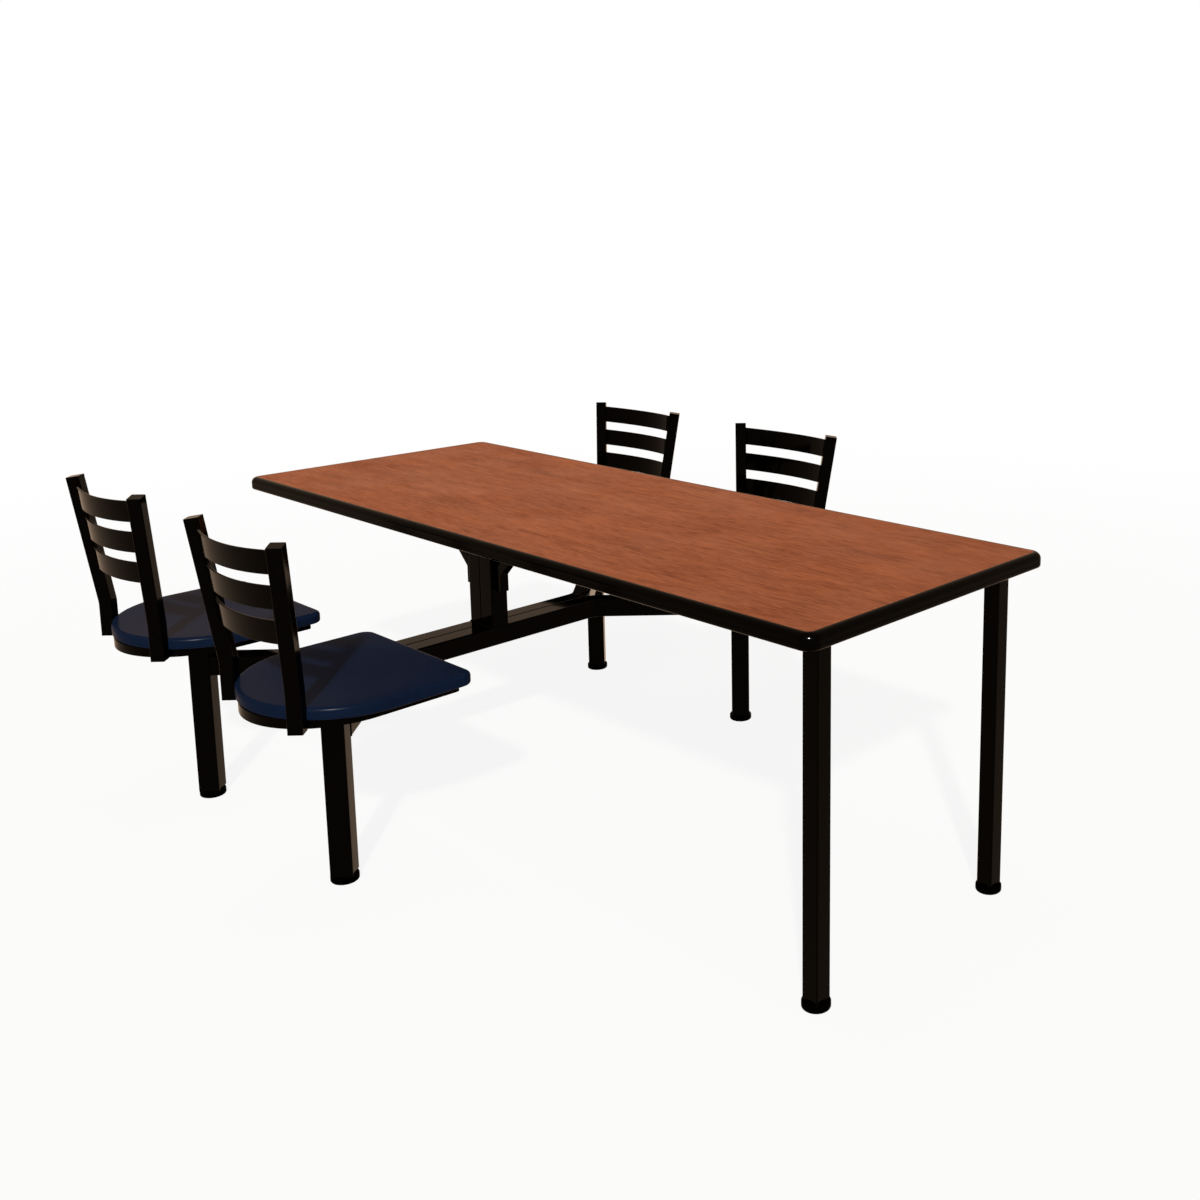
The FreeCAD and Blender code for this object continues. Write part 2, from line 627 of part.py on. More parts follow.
def build_column(name, side):
    """One of the column's two tubes."""
    label = "column_tube_" + name
    tube = square_tube(label, "beam_side", "beam_corner", "beam_bore", "beam_inner_corner",
                       "Sizes.column_length")
    place(tube, "Sizes.pedestal_x + %d * Sizes.beam_half" % side, z="Sizes.beam_top")


def build_brace(name, turn):
    """Bent bar from the column's side to the plate under the top."""
    label = "brace_" + name
    body = new_body(label)
    depth = v["brace_depth"]
    high = v["column_top"]
    run = v["brace_rise"]
    bend = high - run
    low = bend - v["brace_foot"]
    diagonal = depth * math.sqrt(2)
    points = [(0, low), (depth, low), (depth, bend + depth - diagonal), (run + diagonal, high),
              (run, high), (0, bend)]
    outline = new_sketch(body, label + "_outline", "XZ_Plane")
    draw_polygon(outline, points)
    pad(body, outline, label + "_bar", "Sizes.brace_width", reverse=True)
    side = 1 if turn == 0 else -1
    place(body, "Sizes.pedestal_x + %d * Sizes.beam_side" % side, turn=turn)


def build_pedestal():
    """Beams, column, braces and top plate."""
    for name, side, turn in (("right", 1, 0), ("left", -1, 180)):
        build_beam(name, turn)
        build_column(name, side)
        build_brace(name, turn)
    plate = new_body("pedestal_plate")
    outline = new_sketch(plate, "pedestal_plate_outline")
    draw_rounded_rectangle(outline, "plate", "plate_length", "plate_width", "plate_corner")
    pad(plate, outline, "pedestal_plate_sheet", "Sizes.plate_depth")
    drill(plate, "pedestal_plate_holes", pedestal_plate_screws(), "plate_hole_radius")
    place(plate, "Sizes.pedestal_x", z="Sizes.column_top")


# ---------------------------------------------------------------------------
# seats


def seat_place(body, seat, x="0", y="0", z="0", turn=0.0, tilt=0.0):
    """Put a sub-part at a place given in a seat's own frame."""
    along, across = SEATS[seat]
    facing = -across
    half_turn = 0 if facing > 0 else 180
    axis_x = "Sizes.pedestal_x + %d * Sizes.seat_spacing / 2" % along
    axis_y = "%d * Sizes.seat_reach" % across
    place(body, "%s + %d * (%s)" % (axis_x, facing, x), "%s + %d * (%s)" % (axis_y, facing, y), z,
          half_turn + turn, tilt)


def build_swivel_base(seat):
    """Flange on the leg, with the spindle and the stop pin."""
    label = seat + "_swivel_base"
    body = new_body(label)
    flange = new_sketch(body, label + "_flange_outline")
    draw_circle(flange, "flange", "flange_radius")
    pad(body, flange, label + "_flange", "Sizes.swivel_flange_depth")
    spindle = new_sketch(body, label + "_spindle_outline")
    draw_circle(spindle, "spindle", "spindle_radius")
    pad(body, spindle, label + "_spindle", "Sizes.nut_level - Sizes.seat_leg_top")
    spigot = new_sketch(body, label + "_spigot_outline")
    draw_circle(spigot, "spigot", "spindle_end_radius")
    pad(body, spigot, label + "_spigot", "Sizes.spindle_high - Sizes.seat_leg_top")
    stop = new_sketch(body, label + "_stop_outline")
    draw_circle(stop, "stop", "stop_pin_radius", 0.0, v["stop_orbit"])
    pad(body, stop, label + "_stop", "Sizes.swivel_flange_depth + Sizes.stop_pin_length")
    seat_place(body, seat, z="Sizes.seat_leg_top")


def draw_sector(sketch):
    """Ring sector opposite the stop pin, from within the sleeve to the sector's rim."""
    half = math.radians(v["stop_half_angle"])
    inner = v["hub_bore_radius"] + (v["hub_radius"] - v["hub_bore_radius"]) / 2
    outer = v["stop_sector_radius"]
    first = -math.pi / 2 - half
    last = -math.pi / 2 + half
    up = FreeCAD.Vector(0, 0, 1)
    centre = FreeCAD.Vector(0, 0, 0)

    def spot(radius, angle):
        return FreeCAD.Vector(radius * math.cos(angle), radius * math.sin(angle), 0)

    rim = sketch.addGeometry(Part.ArcOfCircle(Part.Circle(centre, up, outer), first, last))
    root = sketch.addGeometry(Part.ArcOfCircle(Part.Circle(centre, up, inner), first, last))
    right = sketch.addGeometry(Part.LineSegment(spot(outer, last), spot(inner, last)))
    left = sketch.addGeometry(Part.LineSegment(spot(inner, first), spot(outer, first)))
    for one, end, other, start in ((rim, 2, right, 1), (right, 2, root, 2), (root, 1, left, 1),
                                   (left, 2, rim, 1)):
        sketch.addConstraint(Sketcher.Constraint("Coincident", one, end, other, start))


def build_swivel_hub(seat):
    """Sleeve on the spindle, with the stop sector below and the plate under the pan."""
    label = seat + "_swivel_hub"
    body = new_body(label)
    sleeve = new_sketch(body, label + "_sleeve_outline")
    draw_circle(sleeve, "sleeve", "hub_radius")
    pad(body, sleeve, label + "_sleeve", "Sizes.hub_top - Sizes.hub_low")
    sector = new_sketch(body, label + "_sector_outline")
    draw_sector(sector)
    pad(body, sector, label + "_sector", "Sizes.stop_sector_depth")
    plate = new_sketch(body, label + "_plate_outline", lift="Sizes.hub_plate_low - Sizes.hub_low")
    draw_rounded_rectangle(plate, "plate", "hub_plate_side", "hub_plate_side", "hub_plate_corner")
    pad(body, plate, label + "_plate", "Sizes.hub_plate_depth")
    bore = new_sketch(body, label + "_bore_outline")
    draw_circle(bore, "bore", "hub_bore_radius")
    pocket(body, bore, label + "_bore", reverse=True)
    room = new_sketch(body, label + "_nut_room_outline", lift="Sizes.nut_room_low - Sizes.hub_low")
    draw_circle(room, "nut_room", "nut_room_radius")
    pocket(body, room, label + "_nut_room", "Sizes.nut_room_depth", reverse=True)
    seat_place(body, seat, z="Sizes.hub_low")


def build_washers_and_nuts():
    """Thrust washers under the hubs and retaining nuts on the spindles, each in one group."""
    washers = []
    nuts = []
    for x, y in seat_spots():
        low = FreeCAD.Vector(x, y, v["washer_level"])
        disc = Part.makeCylinder(v["washer_radius"], v["washer_depth"], low)
        washers.append(disc.cut(Part.makeCylinder(v["spindle_radius"], v["washer_depth"], low)))
        base = FreeCAD.Vector(x, y, v["nut_level"])
        turns = [math.radians(60 * i) for i in range(7)]
        corners = [base + FreeCAD.Vector(math.cos(turn), math.sin(turn), 0) * nut_corner_radius
                   for turn in turns]
        hexagon = Part.Face(Part.makePolygon(corners)).extrude(FreeCAD.Vector(0, 0, v["nut_depth"]))
        hole = Part.makeCylinder(v["spindle_end_radius"], v["nut_depth"], base)
        nuts.append(hexagon.cut(hole))
    add_group("swivel_thrust_washers", washers)
    add_group("swivel_nuts", nuts)


def draw_seat_outline(sketch, half_width, front, side_end, back, corner):
    """Straight front and sides with round corners, and a half ellipse behind."""
    normal = FreeCAD.Vector(0, 0, 1)

    def spot(x, y):
        return FreeCAD.Vector(x, y, 0)

    if back > half_width:
        ellipse = Part.Ellipse(spot(0, side_end - back), spot(half_width, side_end),
                               spot(0, side_end))
        round_back = Part.ArcOfEllipse(ellipse, -math.pi / 2, math.pi / 2)
    else:
        ellipse = Part.Ellipse(spot(half_width, side_end), spot(0, side_end + back),
                               spot(0, side_end))
        round_back = Part.ArcOfEllipse(ellipse, math.pi, 2 * math.pi)
    rear = sketch.addGeometry(round_back)
    inner = half_width - corner
    right = sketch.addGeometry(Part.LineSegment(spot(half_width, side_end),
                                                spot(half_width, front - corner)))
    front_right = sketch.addGeometry(Part.ArcOfCircle(
        Part.Circle(spot(inner, front - corner), normal, corner), 0, math.pi / 2))
    ahead = sketch.addGeometry(Part.LineSegment(spot(inner, front), spot(-inner, front)))
    front_left = sketch.addGeometry(Part.ArcOfCircle(
        Part.Circle(spot(-inner, front - corner), normal, corner), math.pi / 2, math.pi))
    left = sketch.addGeometry(Part.LineSegment(spot(-half_width, front - corner),
                                               spot(-half_width, side_end)))
    return [rear, right, front_right, ahead, front_left, left]


def build_pan(seat):
    """Pressed pan with a skirt, open below, with a lug to each upright."""
    label = seat + "_seat_pan"
    body = new_body(label)
    sheet_depth = v["pan_sheet"]
    outside = new_sketch(body, label + "_outline")
    draw_seat_outline(outside, v["pan_half_width"], v["pan_front"], v["pan_side_end"],
                      v["pan_back"], v["pan_corner"])
    pad(body, outside, label + "_block", "Sizes.pan_depth")
    for side in (-1, 1):
        lug = new_sketch(body, "%s_lug_%s" % (label, "right" if side > 0 else "left"),
                         lift="Sizes.upright_inset", offset=lug_placement(side))
        reach = v["lug_length"] + v["lug_bite"]
        half = v["lug_width"] / 2
        draw_polygon(lug, [(-reach, -half), (0, -half), (0, half), (-reach, half)])
        pad(body, lug, lug.Name + "_bar", "Sizes.lug_depth")
    inside = new_sketch(body, label + "_inside")
    draw_seat_outline(inside, v["pan_half_width"] - sheet_depth, v["pan_front"] - sheet_depth,
                      v["pan_side_end"], v["pan_back"] - sheet_depth,
                      v["pan_corner"] - sheet_depth)
    pocket(body, inside, label + "_room", "Sizes.pan_inside", reverse=True)
    seat_place(body, seat, z="Sizes.pan_level")


def lug_placement(side):
    """Where a lug meets its upright, with X pointing into the upright's inner face."""
    diagonal = v["upright_side"] / 2 * diagonal_share
    spot = FreeCAD.Vector(side * (v["upright_x"] - diagonal), -v["upright_y"] + diagonal, 0)
    angle = -45 if side > 0 else -135
    return FreeCAD.Placement(spot, FreeCAD.Rotation(FreeCAD.Vector(0, 0, 1), angle))


def build_shell(seat):
    """Moulded seat with round rims, a shallow dish and a notch for each upright."""
    label = seat + "_seat_shell"
    body = new_body(label)
    outline = new_sketch(body, label + "_outline")
    draw_seat_outline(outline, v["shell_half_width"], v["shell_front"], v["shell_side_end"],
                      v["shell_back"], v["shell_corner"])
    pad(body, outline, label + "_block", "Sizes.shell_depth")
    fillet(body, label + "_crown", "Sizes.shell_crown",
           lambda edge: lies_at(edge, v["shell_depth"]))
    fillet(body, label + "_foot", "Sizes.shell_foot", lambda edge: lies_at(edge, 0))
    dish = new_sketch(body, label + "_dish_section", "XZ_Plane")
    draw_dish(dish)
    groove = body.newObject("PartDesign::Groove", label + "_dish")
    groove.Profile = dish
    groove.ReferenceAxis = (dish, ["V_Axis"])
    groove.Angle = 360
    dish.Visibility = False
    for side in (-1, 1):
        spot = FreeCAD.Vector(side * v["upright_x"], -v["upright_y"], 0)
        turn = FreeCAD.Rotation(FreeCAD.Vector(0, 0, 1), 45)
        name = "%s_notch_%s" % (label, "right" if side > 0 else "left")
        notch = new_sketch(body, name, offset=FreeCAD.Placement(spot, turn))
        draw_rectangle(notch, "notch", "notch_side", "notch_side")
        pocket(body, notch, name + "_cut", reverse=True)
    seat_place(body, seat, z="Sizes.pan_top")


def draw_dish(sketch):
    """Half of a shallow circle segment above the seat, beside the swivel axis."""
    rim = v["dish_radius"]
    depth = v["dish_depth"]
    top = v["shell_depth"]
    radius = (rim ** 2 + depth ** 2) / (2 * depth)
    centre = FreeCAD.Vector(0, top - depth + radius, 0)
    sweep = math.asin(rim / radius)
    low = FreeCAD.Vector(0, top - depth, 0)
    axis_top = FreeCAD.Vector(0, top, 0)
    edge = FreeCAD.Vector(rim, top, 0)
    arc = Part.ArcOfCircle(Part.Circle(centre, FreeCAD.Vector(0, 0, 1), radius), -math.pi / 2,
                           -math.pi / 2 + sweep)
    bowl = sketch.addGeometry(arc)
    lid = sketch.addGeometry(Part.LineSegment(edge, axis_top))
    axis = sketch.addGeometry(Part.LineSegment(axis_top, low))
    sketch.addConstraint(Sketcher.Constraint("Coincident", bowl, 2, lid, 1))
    sketch.addConstraint(Sketcher.Constraint("Coincident", lid, 2, axis, 1))
    sketch.addConstraint(Sketcher.Constraint("Coincident", axis, 2, bowl, 1))


def draw_upright_path(sketch, cap):
    """Centre line of an upright in its own plane: X is the way that the top leans."""
    lean = math.radians(v["upright_lean"])
    radius = v["upright_bend"]
    tangent = radius * math.tan(lean / 2)
    upper = v["upright_rise"] / math.cos(lean) - cap
    along = FreeCAD.Vector(math.sin(lean), math.cos(lean), 0)
    vertex = FreeCAD.Vector(0, v["upright_foot"], 0)
    first = vertex - FreeCAD.Vector(0, tangent, 0)
    last = vertex + along * tangent
    circle = Part.Circle(first + FreeCAD.Vector(radius, 0, 0), FreeCAD.Vector(0, 0, 1), radius)
    lower = sketch.addGeometry(Part.LineSegment(FreeCAD.Vector(0, 0, 0), first))
    bend = sketch.addGeometry(Part.ArcOfCircle(circle, math.pi - lean, math.pi))
    top = sketch.addGeometry(Part.LineSegment(last, vertex + along * upper))
    sketch.addConstraint(Sketcher.Constraint("Tangent", lower, 2, bend, 2))
    sketch.addConstraint(Sketcher.Constraint("Tangent", bend, 1, top, 1))
    dimension(sketch, Sketcher.Constraint("Radius", bend, radius), "bend", "Sizes.upright_bend")


def build_upright(seat, name, side):
    """Bent square tube with a closed top, a corner of its section pointing sideways."""
    label = "%s_upright_%s" % (seat, name)
    body = new_body(label)
    section = new_sketch(body, label + "_section")
    draw_rounded_rectangle(section, "outside", "upright_side", "upright_side", "upright_corner")
    path = new_sketch(body, label + "_path", "XZ_Plane")
    draw_upright_path(path, 0.0)
    pipe(body, "AdditivePipe", label + "_bar", section, path)
    bore = new_sketch(body, label + "_bore_section")
    draw_rounded_rectangle(bore, "inside", "upright_bore", "upright_bore", "upright_inner_corner")
    bore_path = new_sketch(body, label + "_bore_path", "XZ_Plane")
    draw_upright_path(bore_path, v["upright_wall"])
    pipe(body, "SubtractivePipe", label + "_bore", bore, bore_path)
    turn = -45 if side > 0 else -135
    seat_place(body, seat, "%d * Sizes.upright_x" % side, "-Sizes.upright_y", "Sizes.upright_low",
               turn)


def slat_centres():
    """Middles of the slats, along the leaning back from its bend."""
    rake = math.radians(v["back_rake"])
    length = v["upright_rise"] / math.cos(rake)
    top = length - v["slat_margin"] - v["slat_height"] / 2
    pitch = v["slat_height"] + v["slat_gap"]
    return {"upper": top, "middle": top - pitch, "lower": top - 2 * pitch}


def upright_half_gap(station):
    """From the middle of the back to an upright's centre line, at a station along the back."""
    rake = math.radians(v["back_rake"])
    return v["upright_x"] + station * math.sin(rake)


def draw_slat(sketch, station):
    """Curved strip between the uprights' centre lines, hollow side forwards."""
    reach = upright_half_gap(station)
    radius = v["slat_radius"]
    half = math.asin(reach / radius)
    centre = FreeCAD.Vector(0, radius * math.cos(half), 0)
    first = -math.pi / 2 - half
    last = -math.pi / 2 + half
    up = FreeCAD.Vector(0, 0, 1)

    def spot(distance, angle):
        return centre + FreeCAD.Vector(distance * math.cos(angle), distance * math.sin(angle), 0)

    front = radius - v["slat_depth"]
    rear_arc = sketch.addGeometry(Part.ArcOfCircle(Part.Circle(centre, up, radius), first, last))
    front_arc = sketch.addGeometry(Part.ArcOfCircle(Part.Circle(centre, up, front), first, last))
    right = sketch.addGeometry(Part.LineSegment(spot(radius, last), spot(front, last)))
    left = sketch.addGeometry(Part.LineSegment(spot(front, first), spot(radius, first)))
    for one, end, other, start in ((rear_arc, 2, right, 1), (right, 2, front_arc, 2),
                                   (front_arc, 1, left, 1), (left, 2, rear_arc, 1)):
        sketch.addConstraint(Sketcher.Constraint("Coincident", one, end, other, start))
    dimension(sketch, Sketcher.Constraint("Radius", rear_arc, radius), "rear", "Sizes.slat_radius")


def upright_axis_placement(side):
    """Frame of an upright's leaning part in the seat's frame, with Z along the tube."""
    spot = FreeCAD.Vector(side * v["upright_x"], -v["upright_y"], v["upright_bend_level"])
    turn = FreeCAD.Rotation(FreeCAD.Vector(0, 0, 1), -45 if side > 0 else -135)
    lean = FreeCAD.Rotation(FreeCAD.Vector(0, 1, 0), v["upright_lean"])
    return FreeCAD.Placement(spot, turn.multiply(lean))


def build_slat(seat, name, station):
    """Rolled flat bar, cut to fit against both uprights."""
    label = "%s_slat_%s" % (seat, name)
    body = new_body(label)
    outline = new_sketch(body, label + "_outline")
    draw_slat(outline, station)
    pad(body, outline, label + "_bar", "Sizes.slat_height", midplane=True)
    rake = math.radians(v["back_rake"])
    origin = FreeCAD.Vector(0, -v["upright_y"] - station * math.sin(rake),
                            v["upright_bend_level"] + station * math.cos(rake))
    tilt = FreeCAD.Rotation(FreeCAD.Vector(1, 0, 0), v["back_rake"])
    own_frame = FreeCAD.Placement(origin, tilt)
    for side in (-1, 1):
        frame = own_frame.inverse().multiply(upright_axis_placement(side))
        cut_name = "%s_end_%s" % (label, "right" if side > 0 else "left")
        section = new_sketch(body, cut_name, offset=frame)
        draw_rounded_rectangle(section, "upright", "upright_side", "upright_side",
                               "upright_corner")
        pocket(body, section, cut_name + "_cut", "2 * Sizes.upright_rise", reverse=True)
    seat_place(body, seat, y=repr(round(origin.y, 6)), z=repr(round(origin.z, 6)),
               tilt=v["back_rake"])


def build_seat(seat):
    """Leg, swivel, pan, shell and back of one seat."""
    leg = square_tube(seat + "_seat_leg", "beam_side", "beam_corner", "beam_bore",
                      "beam_inner_corner", "Sizes.seat_leg_length")
    seat_place(leg, seat, z="Sizes.leg_rise", turn=v["arm_angle"])
    build_swivel_base(seat)
    build_swivel_hub(seat)
    build_pan(seat)
    build_shell(seat)
    for name, side in (("left", -1), ("right", 1)):
        build_upright(seat, name, side)
    for name, station in slat_centres().items():
        build_slat(seat, name, station)


# ---------------------------------------------------------------------------
# whole object


build_table_top()
for name, side in (("near", -1), ("far", 1)):
    build_end_leg(name, side)
build_screws()
end_leg_spots = [(v["end_leg_x"], side * v["end_leg_y"]) for side in (-1, 1)]
build_glides("table_leg_glides", v["end_glide_width"] / 2, end_leg_spots)
build_glides("seat_leg_glides", v["seat_glide_width"] / 2, seat_spots())
build_pedestal()
build_washers_and_nuts()
for seat in SEATS:
    build_seat(seat)
doc.recompute()

sub_parts = [item for item in doc.Objects
             if item.TypeId in ("PartDesign::Body", "Part::Feature")]
for item in doc.Objects:
    if "Invalid" in item.State or "Error" in item.State:
        raise RuntimeError("%s did not build: %s" % (item.Label, item.State))
for item in sub_parts:
    if item.Shape.isNull() or not item.Shape.isValid():
        raise RuntimeError("%s has no valid shape" % item.Label)

os.makedirs("parts", exist_ok=True)
for item in sub_parts:
    item.Shape.exportStep("parts/%s.step" % item.Label)
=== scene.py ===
"""Looks of a dining table with four attached swivel seats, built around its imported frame.

Lengths are in metres. X runs along the top towards its two plain legs, Y across it and Z up.
A seat's own frame has its origin on the floor under the swivel, with Y towards the table.
"""

import json
import logging
import math
from collections.abc import Callable, Iterable
from dataclasses import dataclass, field
from enum import Enum

import bmesh
import bpy
from mathutils import Matrix, Vector

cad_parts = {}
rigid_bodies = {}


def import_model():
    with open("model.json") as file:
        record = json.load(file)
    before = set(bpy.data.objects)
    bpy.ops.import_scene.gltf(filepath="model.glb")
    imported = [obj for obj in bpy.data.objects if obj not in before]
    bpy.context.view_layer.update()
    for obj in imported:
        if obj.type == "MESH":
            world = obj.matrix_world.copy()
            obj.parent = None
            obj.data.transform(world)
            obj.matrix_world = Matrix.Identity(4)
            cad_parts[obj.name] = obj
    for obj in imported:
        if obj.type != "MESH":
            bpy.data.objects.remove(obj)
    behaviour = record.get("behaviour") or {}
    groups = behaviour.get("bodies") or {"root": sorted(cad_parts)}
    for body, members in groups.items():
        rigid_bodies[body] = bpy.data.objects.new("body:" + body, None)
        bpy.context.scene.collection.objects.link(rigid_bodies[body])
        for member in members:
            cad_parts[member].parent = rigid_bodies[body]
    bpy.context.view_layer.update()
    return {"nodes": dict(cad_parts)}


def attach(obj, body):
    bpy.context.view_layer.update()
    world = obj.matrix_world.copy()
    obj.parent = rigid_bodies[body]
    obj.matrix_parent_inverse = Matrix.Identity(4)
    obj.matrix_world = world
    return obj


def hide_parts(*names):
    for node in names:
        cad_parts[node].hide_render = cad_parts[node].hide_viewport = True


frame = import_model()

log = logging.getLogger("swivel_seat_table")

Pair = tuple[float, float]
Triple = tuple[float, float, float]
Seam = tuple[Triple, Triple]
Stops = tuple[tuple[float, Triple], ...]
Socket = bpy.types.NodeSocket

UP = Vector((0.0, 0.0, 1.0))
NONE: Triple = (0.0, 0.0, 0.0)
EVEN: Triple = (1.0, 1.0, 1.0)
WHITE: Triple = (1.0, 1.0, 1.0)
EIGHTH_TURN = math.pi / 4
DIAGONAL: Triple = (0.0, 0.0, EIGHTH_TURN)

# Lengths shorter than this count as nothing.
TINY = 1e-6

# Facets of each rounded corner: of a tube, of a plate, and of any small round.
TUBE_FACETS = 5
PLATE_FACETS = 8
SMALL_FACETS = 3

# Broken edges of a plate: their radius and their facets.
BROKEN_EDGE = 0.0006
BROKEN_FACETS = 2

# Upright part of a face's normal, past which the face counts as flat, nearly flat or sloping.
FLAT = 0.99
NEARLY_FLAT = 0.9
SLOPING = 0.5

# Sharpest turn in degrees that counts as round, where a piece names none of its own.
SMOOTH = 35.0


class Body(Enum):
    """CAD bodies that pieces ride on."""

    FRAME = "frame"
    NEAR_RIGHT = "near_right_seat"
    NEAR_LEFT = "near_left_seat"
    FAR_LEFT = "far_left_seat"
    FAR_RIGHT = "far_right_seat"


class SeatSpot(Enum):
    """The four seats: node prefix, body, side along the top and side across it."""

    NEAR_RIGHT = ("near_right", Body.NEAR_RIGHT, 1, -1)
    NEAR_LEFT = ("near_left", Body.NEAR_LEFT, -1, -1)
    FAR_LEFT = ("far_left", Body.FAR_LEFT, -1, 1)
    FAR_RIGHT = ("far_right", Body.FAR_RIGHT, 1, 1)

    @property
    def prefix(self) -> str:
        """Start of the names of this seat's nodes."""
        return self.value[0]

    @property
    def body(self) -> Body:
        """Body that the turning parts ride on."""
        return self.value[1]

    @property
    def along(self) -> int:
        """Side of the pedestal, along the top."""
        return self.value[2]

    @property
    def across(self) -> int:
        """Side of the table."""
        return self.value[3]


class Slot(Enum):
    """Material slots of the record."""

    LAMINATE = "cherry_laminate"
    CORE = "particle_board"
    BACKER = "backer_sheet"
    EDGE = "edge_band"
    ENAMEL = "black_enamel"
    SWIVEL = "swivel_steel"
    SEAT = "blue_composite"
    GLIDE = "glide_plastic"
    WASHER = "washer_nylon"
    SCREW = "zinc_screw"


# ---------------------------------------------------------------------------
# modelling


@dataclass(frozen=True)
class Straight:
    """Straight run of a bar.

    Attributes:
        step: From the run's start to its end.
    """

    step: Vector

    def draw(self, piece: "Workpiece") -> None:
        """Extrude the picked end of a piece along the run."""
        piece.extrude(self.step)


@dataclass(frozen=True)
class Bend:
    """Round bend of a bar.

    Attributes:
        centre: Point on the bend's axis.
        axis: Direction of that axis, by the right hand.
        angle: Turn in radians.
        steps: Number of facets.
    """

    centre: Vector
    axis: Vector
    angle: float
    steps: int

    def draw(self, piece: "Workpiece") -> None:
        """Spin the picked end of a piece about the bend's axis."""
        piece.spin(self.centre, self.axis, self.angle, self.steps)


def facing(along: Vector, across: Vector) -> Triple:
    """Turn that points a primitive's Z along one direction and its X across it.

    Args:
        along: Where Z goes.
        across: Where X goes, roughly; it is squared to Z.

    Returns:
        Euler angles.
    """
    z_axis = along.normalized()
    y_axis = z_axis.cross(across).normalized()
    x_axis = y_axis.cross(z_axis)
    return tuple(Matrix((x_axis, y_axis, z_axis)).transposed().to_euler())


class Workpiece:
    """A primitive on the bench, shaped in edit mode and then finished.

    Attributes:
        obj: The Blender object, whose place is in its mesh.
    """

    def __init__(self, name: str) -> None:
        """Take up the primitive that was just added, with all of it picked.

        Args:
            name: Name of the piece.
        """
        self.obj = bpy.context.object
        self.rename(name)
        self.settle()
        self.edit()
        self.pick_all()

    @classmethod
    def start(cls, name: str, add: Callable, scale: Triple, **options: object) -> "Workpiece":
        """Start from a primitive, with nothing else selected.

        Args:
            name: Name of the piece.
            add: Operator that adds the primitive.
            scale: Scale along each axis.
            **options: Size, place and turn for the operator.

        Returns:
            The piece in edit mode, all picked.
        """
        bpy.ops.object.select_all(action="DESELECT")
        add(**options)
        bpy.context.object.scale = scale
        return cls(name)

    @classmethod
    def plane(cls, name: str, centre: Iterable[float], size: Pair,
              turn: Triple = NONE) -> "Workpiece":
        """Start from a rectangle."""
        return cls.start(name, bpy.ops.mesh.primitive_plane_add, (*size, 1.0), size=1.0,
                         location=tuple(centre), rotation=turn)

    @classmethod
    def block(cls, name: str, low: Iterable[float], high: Iterable[float]) -> "Workpiece":
        """Start from a box between two corners."""
        low, high = Vector(low), Vector(high)
        return cls.start(name, bpy.ops.mesh.primitive_cube_add, tuple(high - low), size=1.0,
                         location=(low + high) / 2)

    @classmethod
    def disc(cls, name: str, centre: Iterable[float], half_axes: Pair,
             vertices: int) -> "Workpiece":
        """Start from a filled circle or ellipse."""
        return cls.start(name, bpy.ops.mesh.primitive_circle_add, (*half_axes, 1.0),
                         vertices=vertices, radius=1.0, fill_type="NGON",
                         location=tuple(centre))

    @classmethod
    def bead(cls, name: str, centre: Iterable[float], radius: float) -> "Workpiece":
        """Start from a small ball."""
        return cls.start(name, bpy.ops.mesh.primitive_ico_sphere_add, EVEN, subdivisions=2,
                         radius=radius, location=tuple(centre))

    def rename(self, name: str) -> None:
        """Name the object and its mesh."""
        self.obj.name = name
        self.obj.data.name = name

    def settle(self) -> None:
        """Put the object's place, turn and scale into its mesh."""
        bpy.ops.object.transform_apply(location=True, rotation=True, scale=True)

    def edit(self) -> None:
        """Go on shaping this piece."""
        if bpy.context.mode != "OBJECT":
            bpy.ops.object.mode_set(mode="OBJECT")
        self.choose()
        bpy.ops.object.mode_set(mode="EDIT")
        bpy.ops.mesh.select_mode(type="FACE")

    def choose(self) -> None:
        """Make this the only selected object."""
        bpy.ops.object.select_all(action="DESELECT")
        self.obj.select_set(True)
        bpy.context.view_layer.objects.active = self.obj

    def pick_all(self) -> None:
        """Pick the whole piece."""
        bpy.ops.mesh.select_all(action="SELECT")

    def open_mesh(self, kind: str) -> bmesh.types.BMesh:
        """Drop what is picked, and open the mesh to pick members of one kind.

        Args:
            kind: FACE, EDGE or VERT.

        Returns:
            The mesh in edit mode.
        """
        bpy.ops.mesh.select_mode(type=kind)
        bpy.ops.mesh.select_all(action="DESELECT")
        return bmesh.from_edit_mesh(self.obj.data)

    def pick(self, chosen: list) -> None:
        """Pick members of the open mesh.

        Args:
            chosen: Its faces, edges or vertices.
        """
        for member in chosen:
            member.select_set(True)
        bmesh.update_edit_mesh(self.obj.data)

    def pick_faces(self, test: Callable[[Vector, Vector], bool]) -> None:
        """Pick the faces whose middle and normal pass a test.

        Args:
            test: Takes the middle and the normal of a face.
        """
        mesh = self.open_mesh("FACE")
        mesh.normal_update()
        self.pick([f for f in mesh.faces if test(f.calc_center_median(), f.normal)])

    def pick_edges(self, test: Callable[[Vector, Vector], bool]) -> None:
        """Pick the edges whose two ends pass a test."""
        mesh = self.open_mesh("EDGE")
        self.pick([e for e in mesh.edges if test(e.verts[0].co, e.verts[1].co)])

    def pick_points(self, test: Callable[[Vector], bool]) -> None:
        """Pick the vertices whose place passes a test, and what lies between them.

        Args:
            test: Takes the place of a vertex.
        """
        mesh = self.open_mesh("VERT")
        self.pick([v for v in mesh.verts if test(v.co)])
        mesh.select_flush(True)
        bmesh.update_edit_mesh(self.obj.data)

    def extrude(self, step: Iterable[float]) -> None:
        """Extrude what is picked by a step."""
        bpy.ops.mesh.extrude_region_move(TRANSFORM_OT_translate={"value": tuple(step)})

    def raise_by(self, height: float) -> None:
        """Extrude what is picked straight up."""
        self.extrude((0.0, 0.0, height))

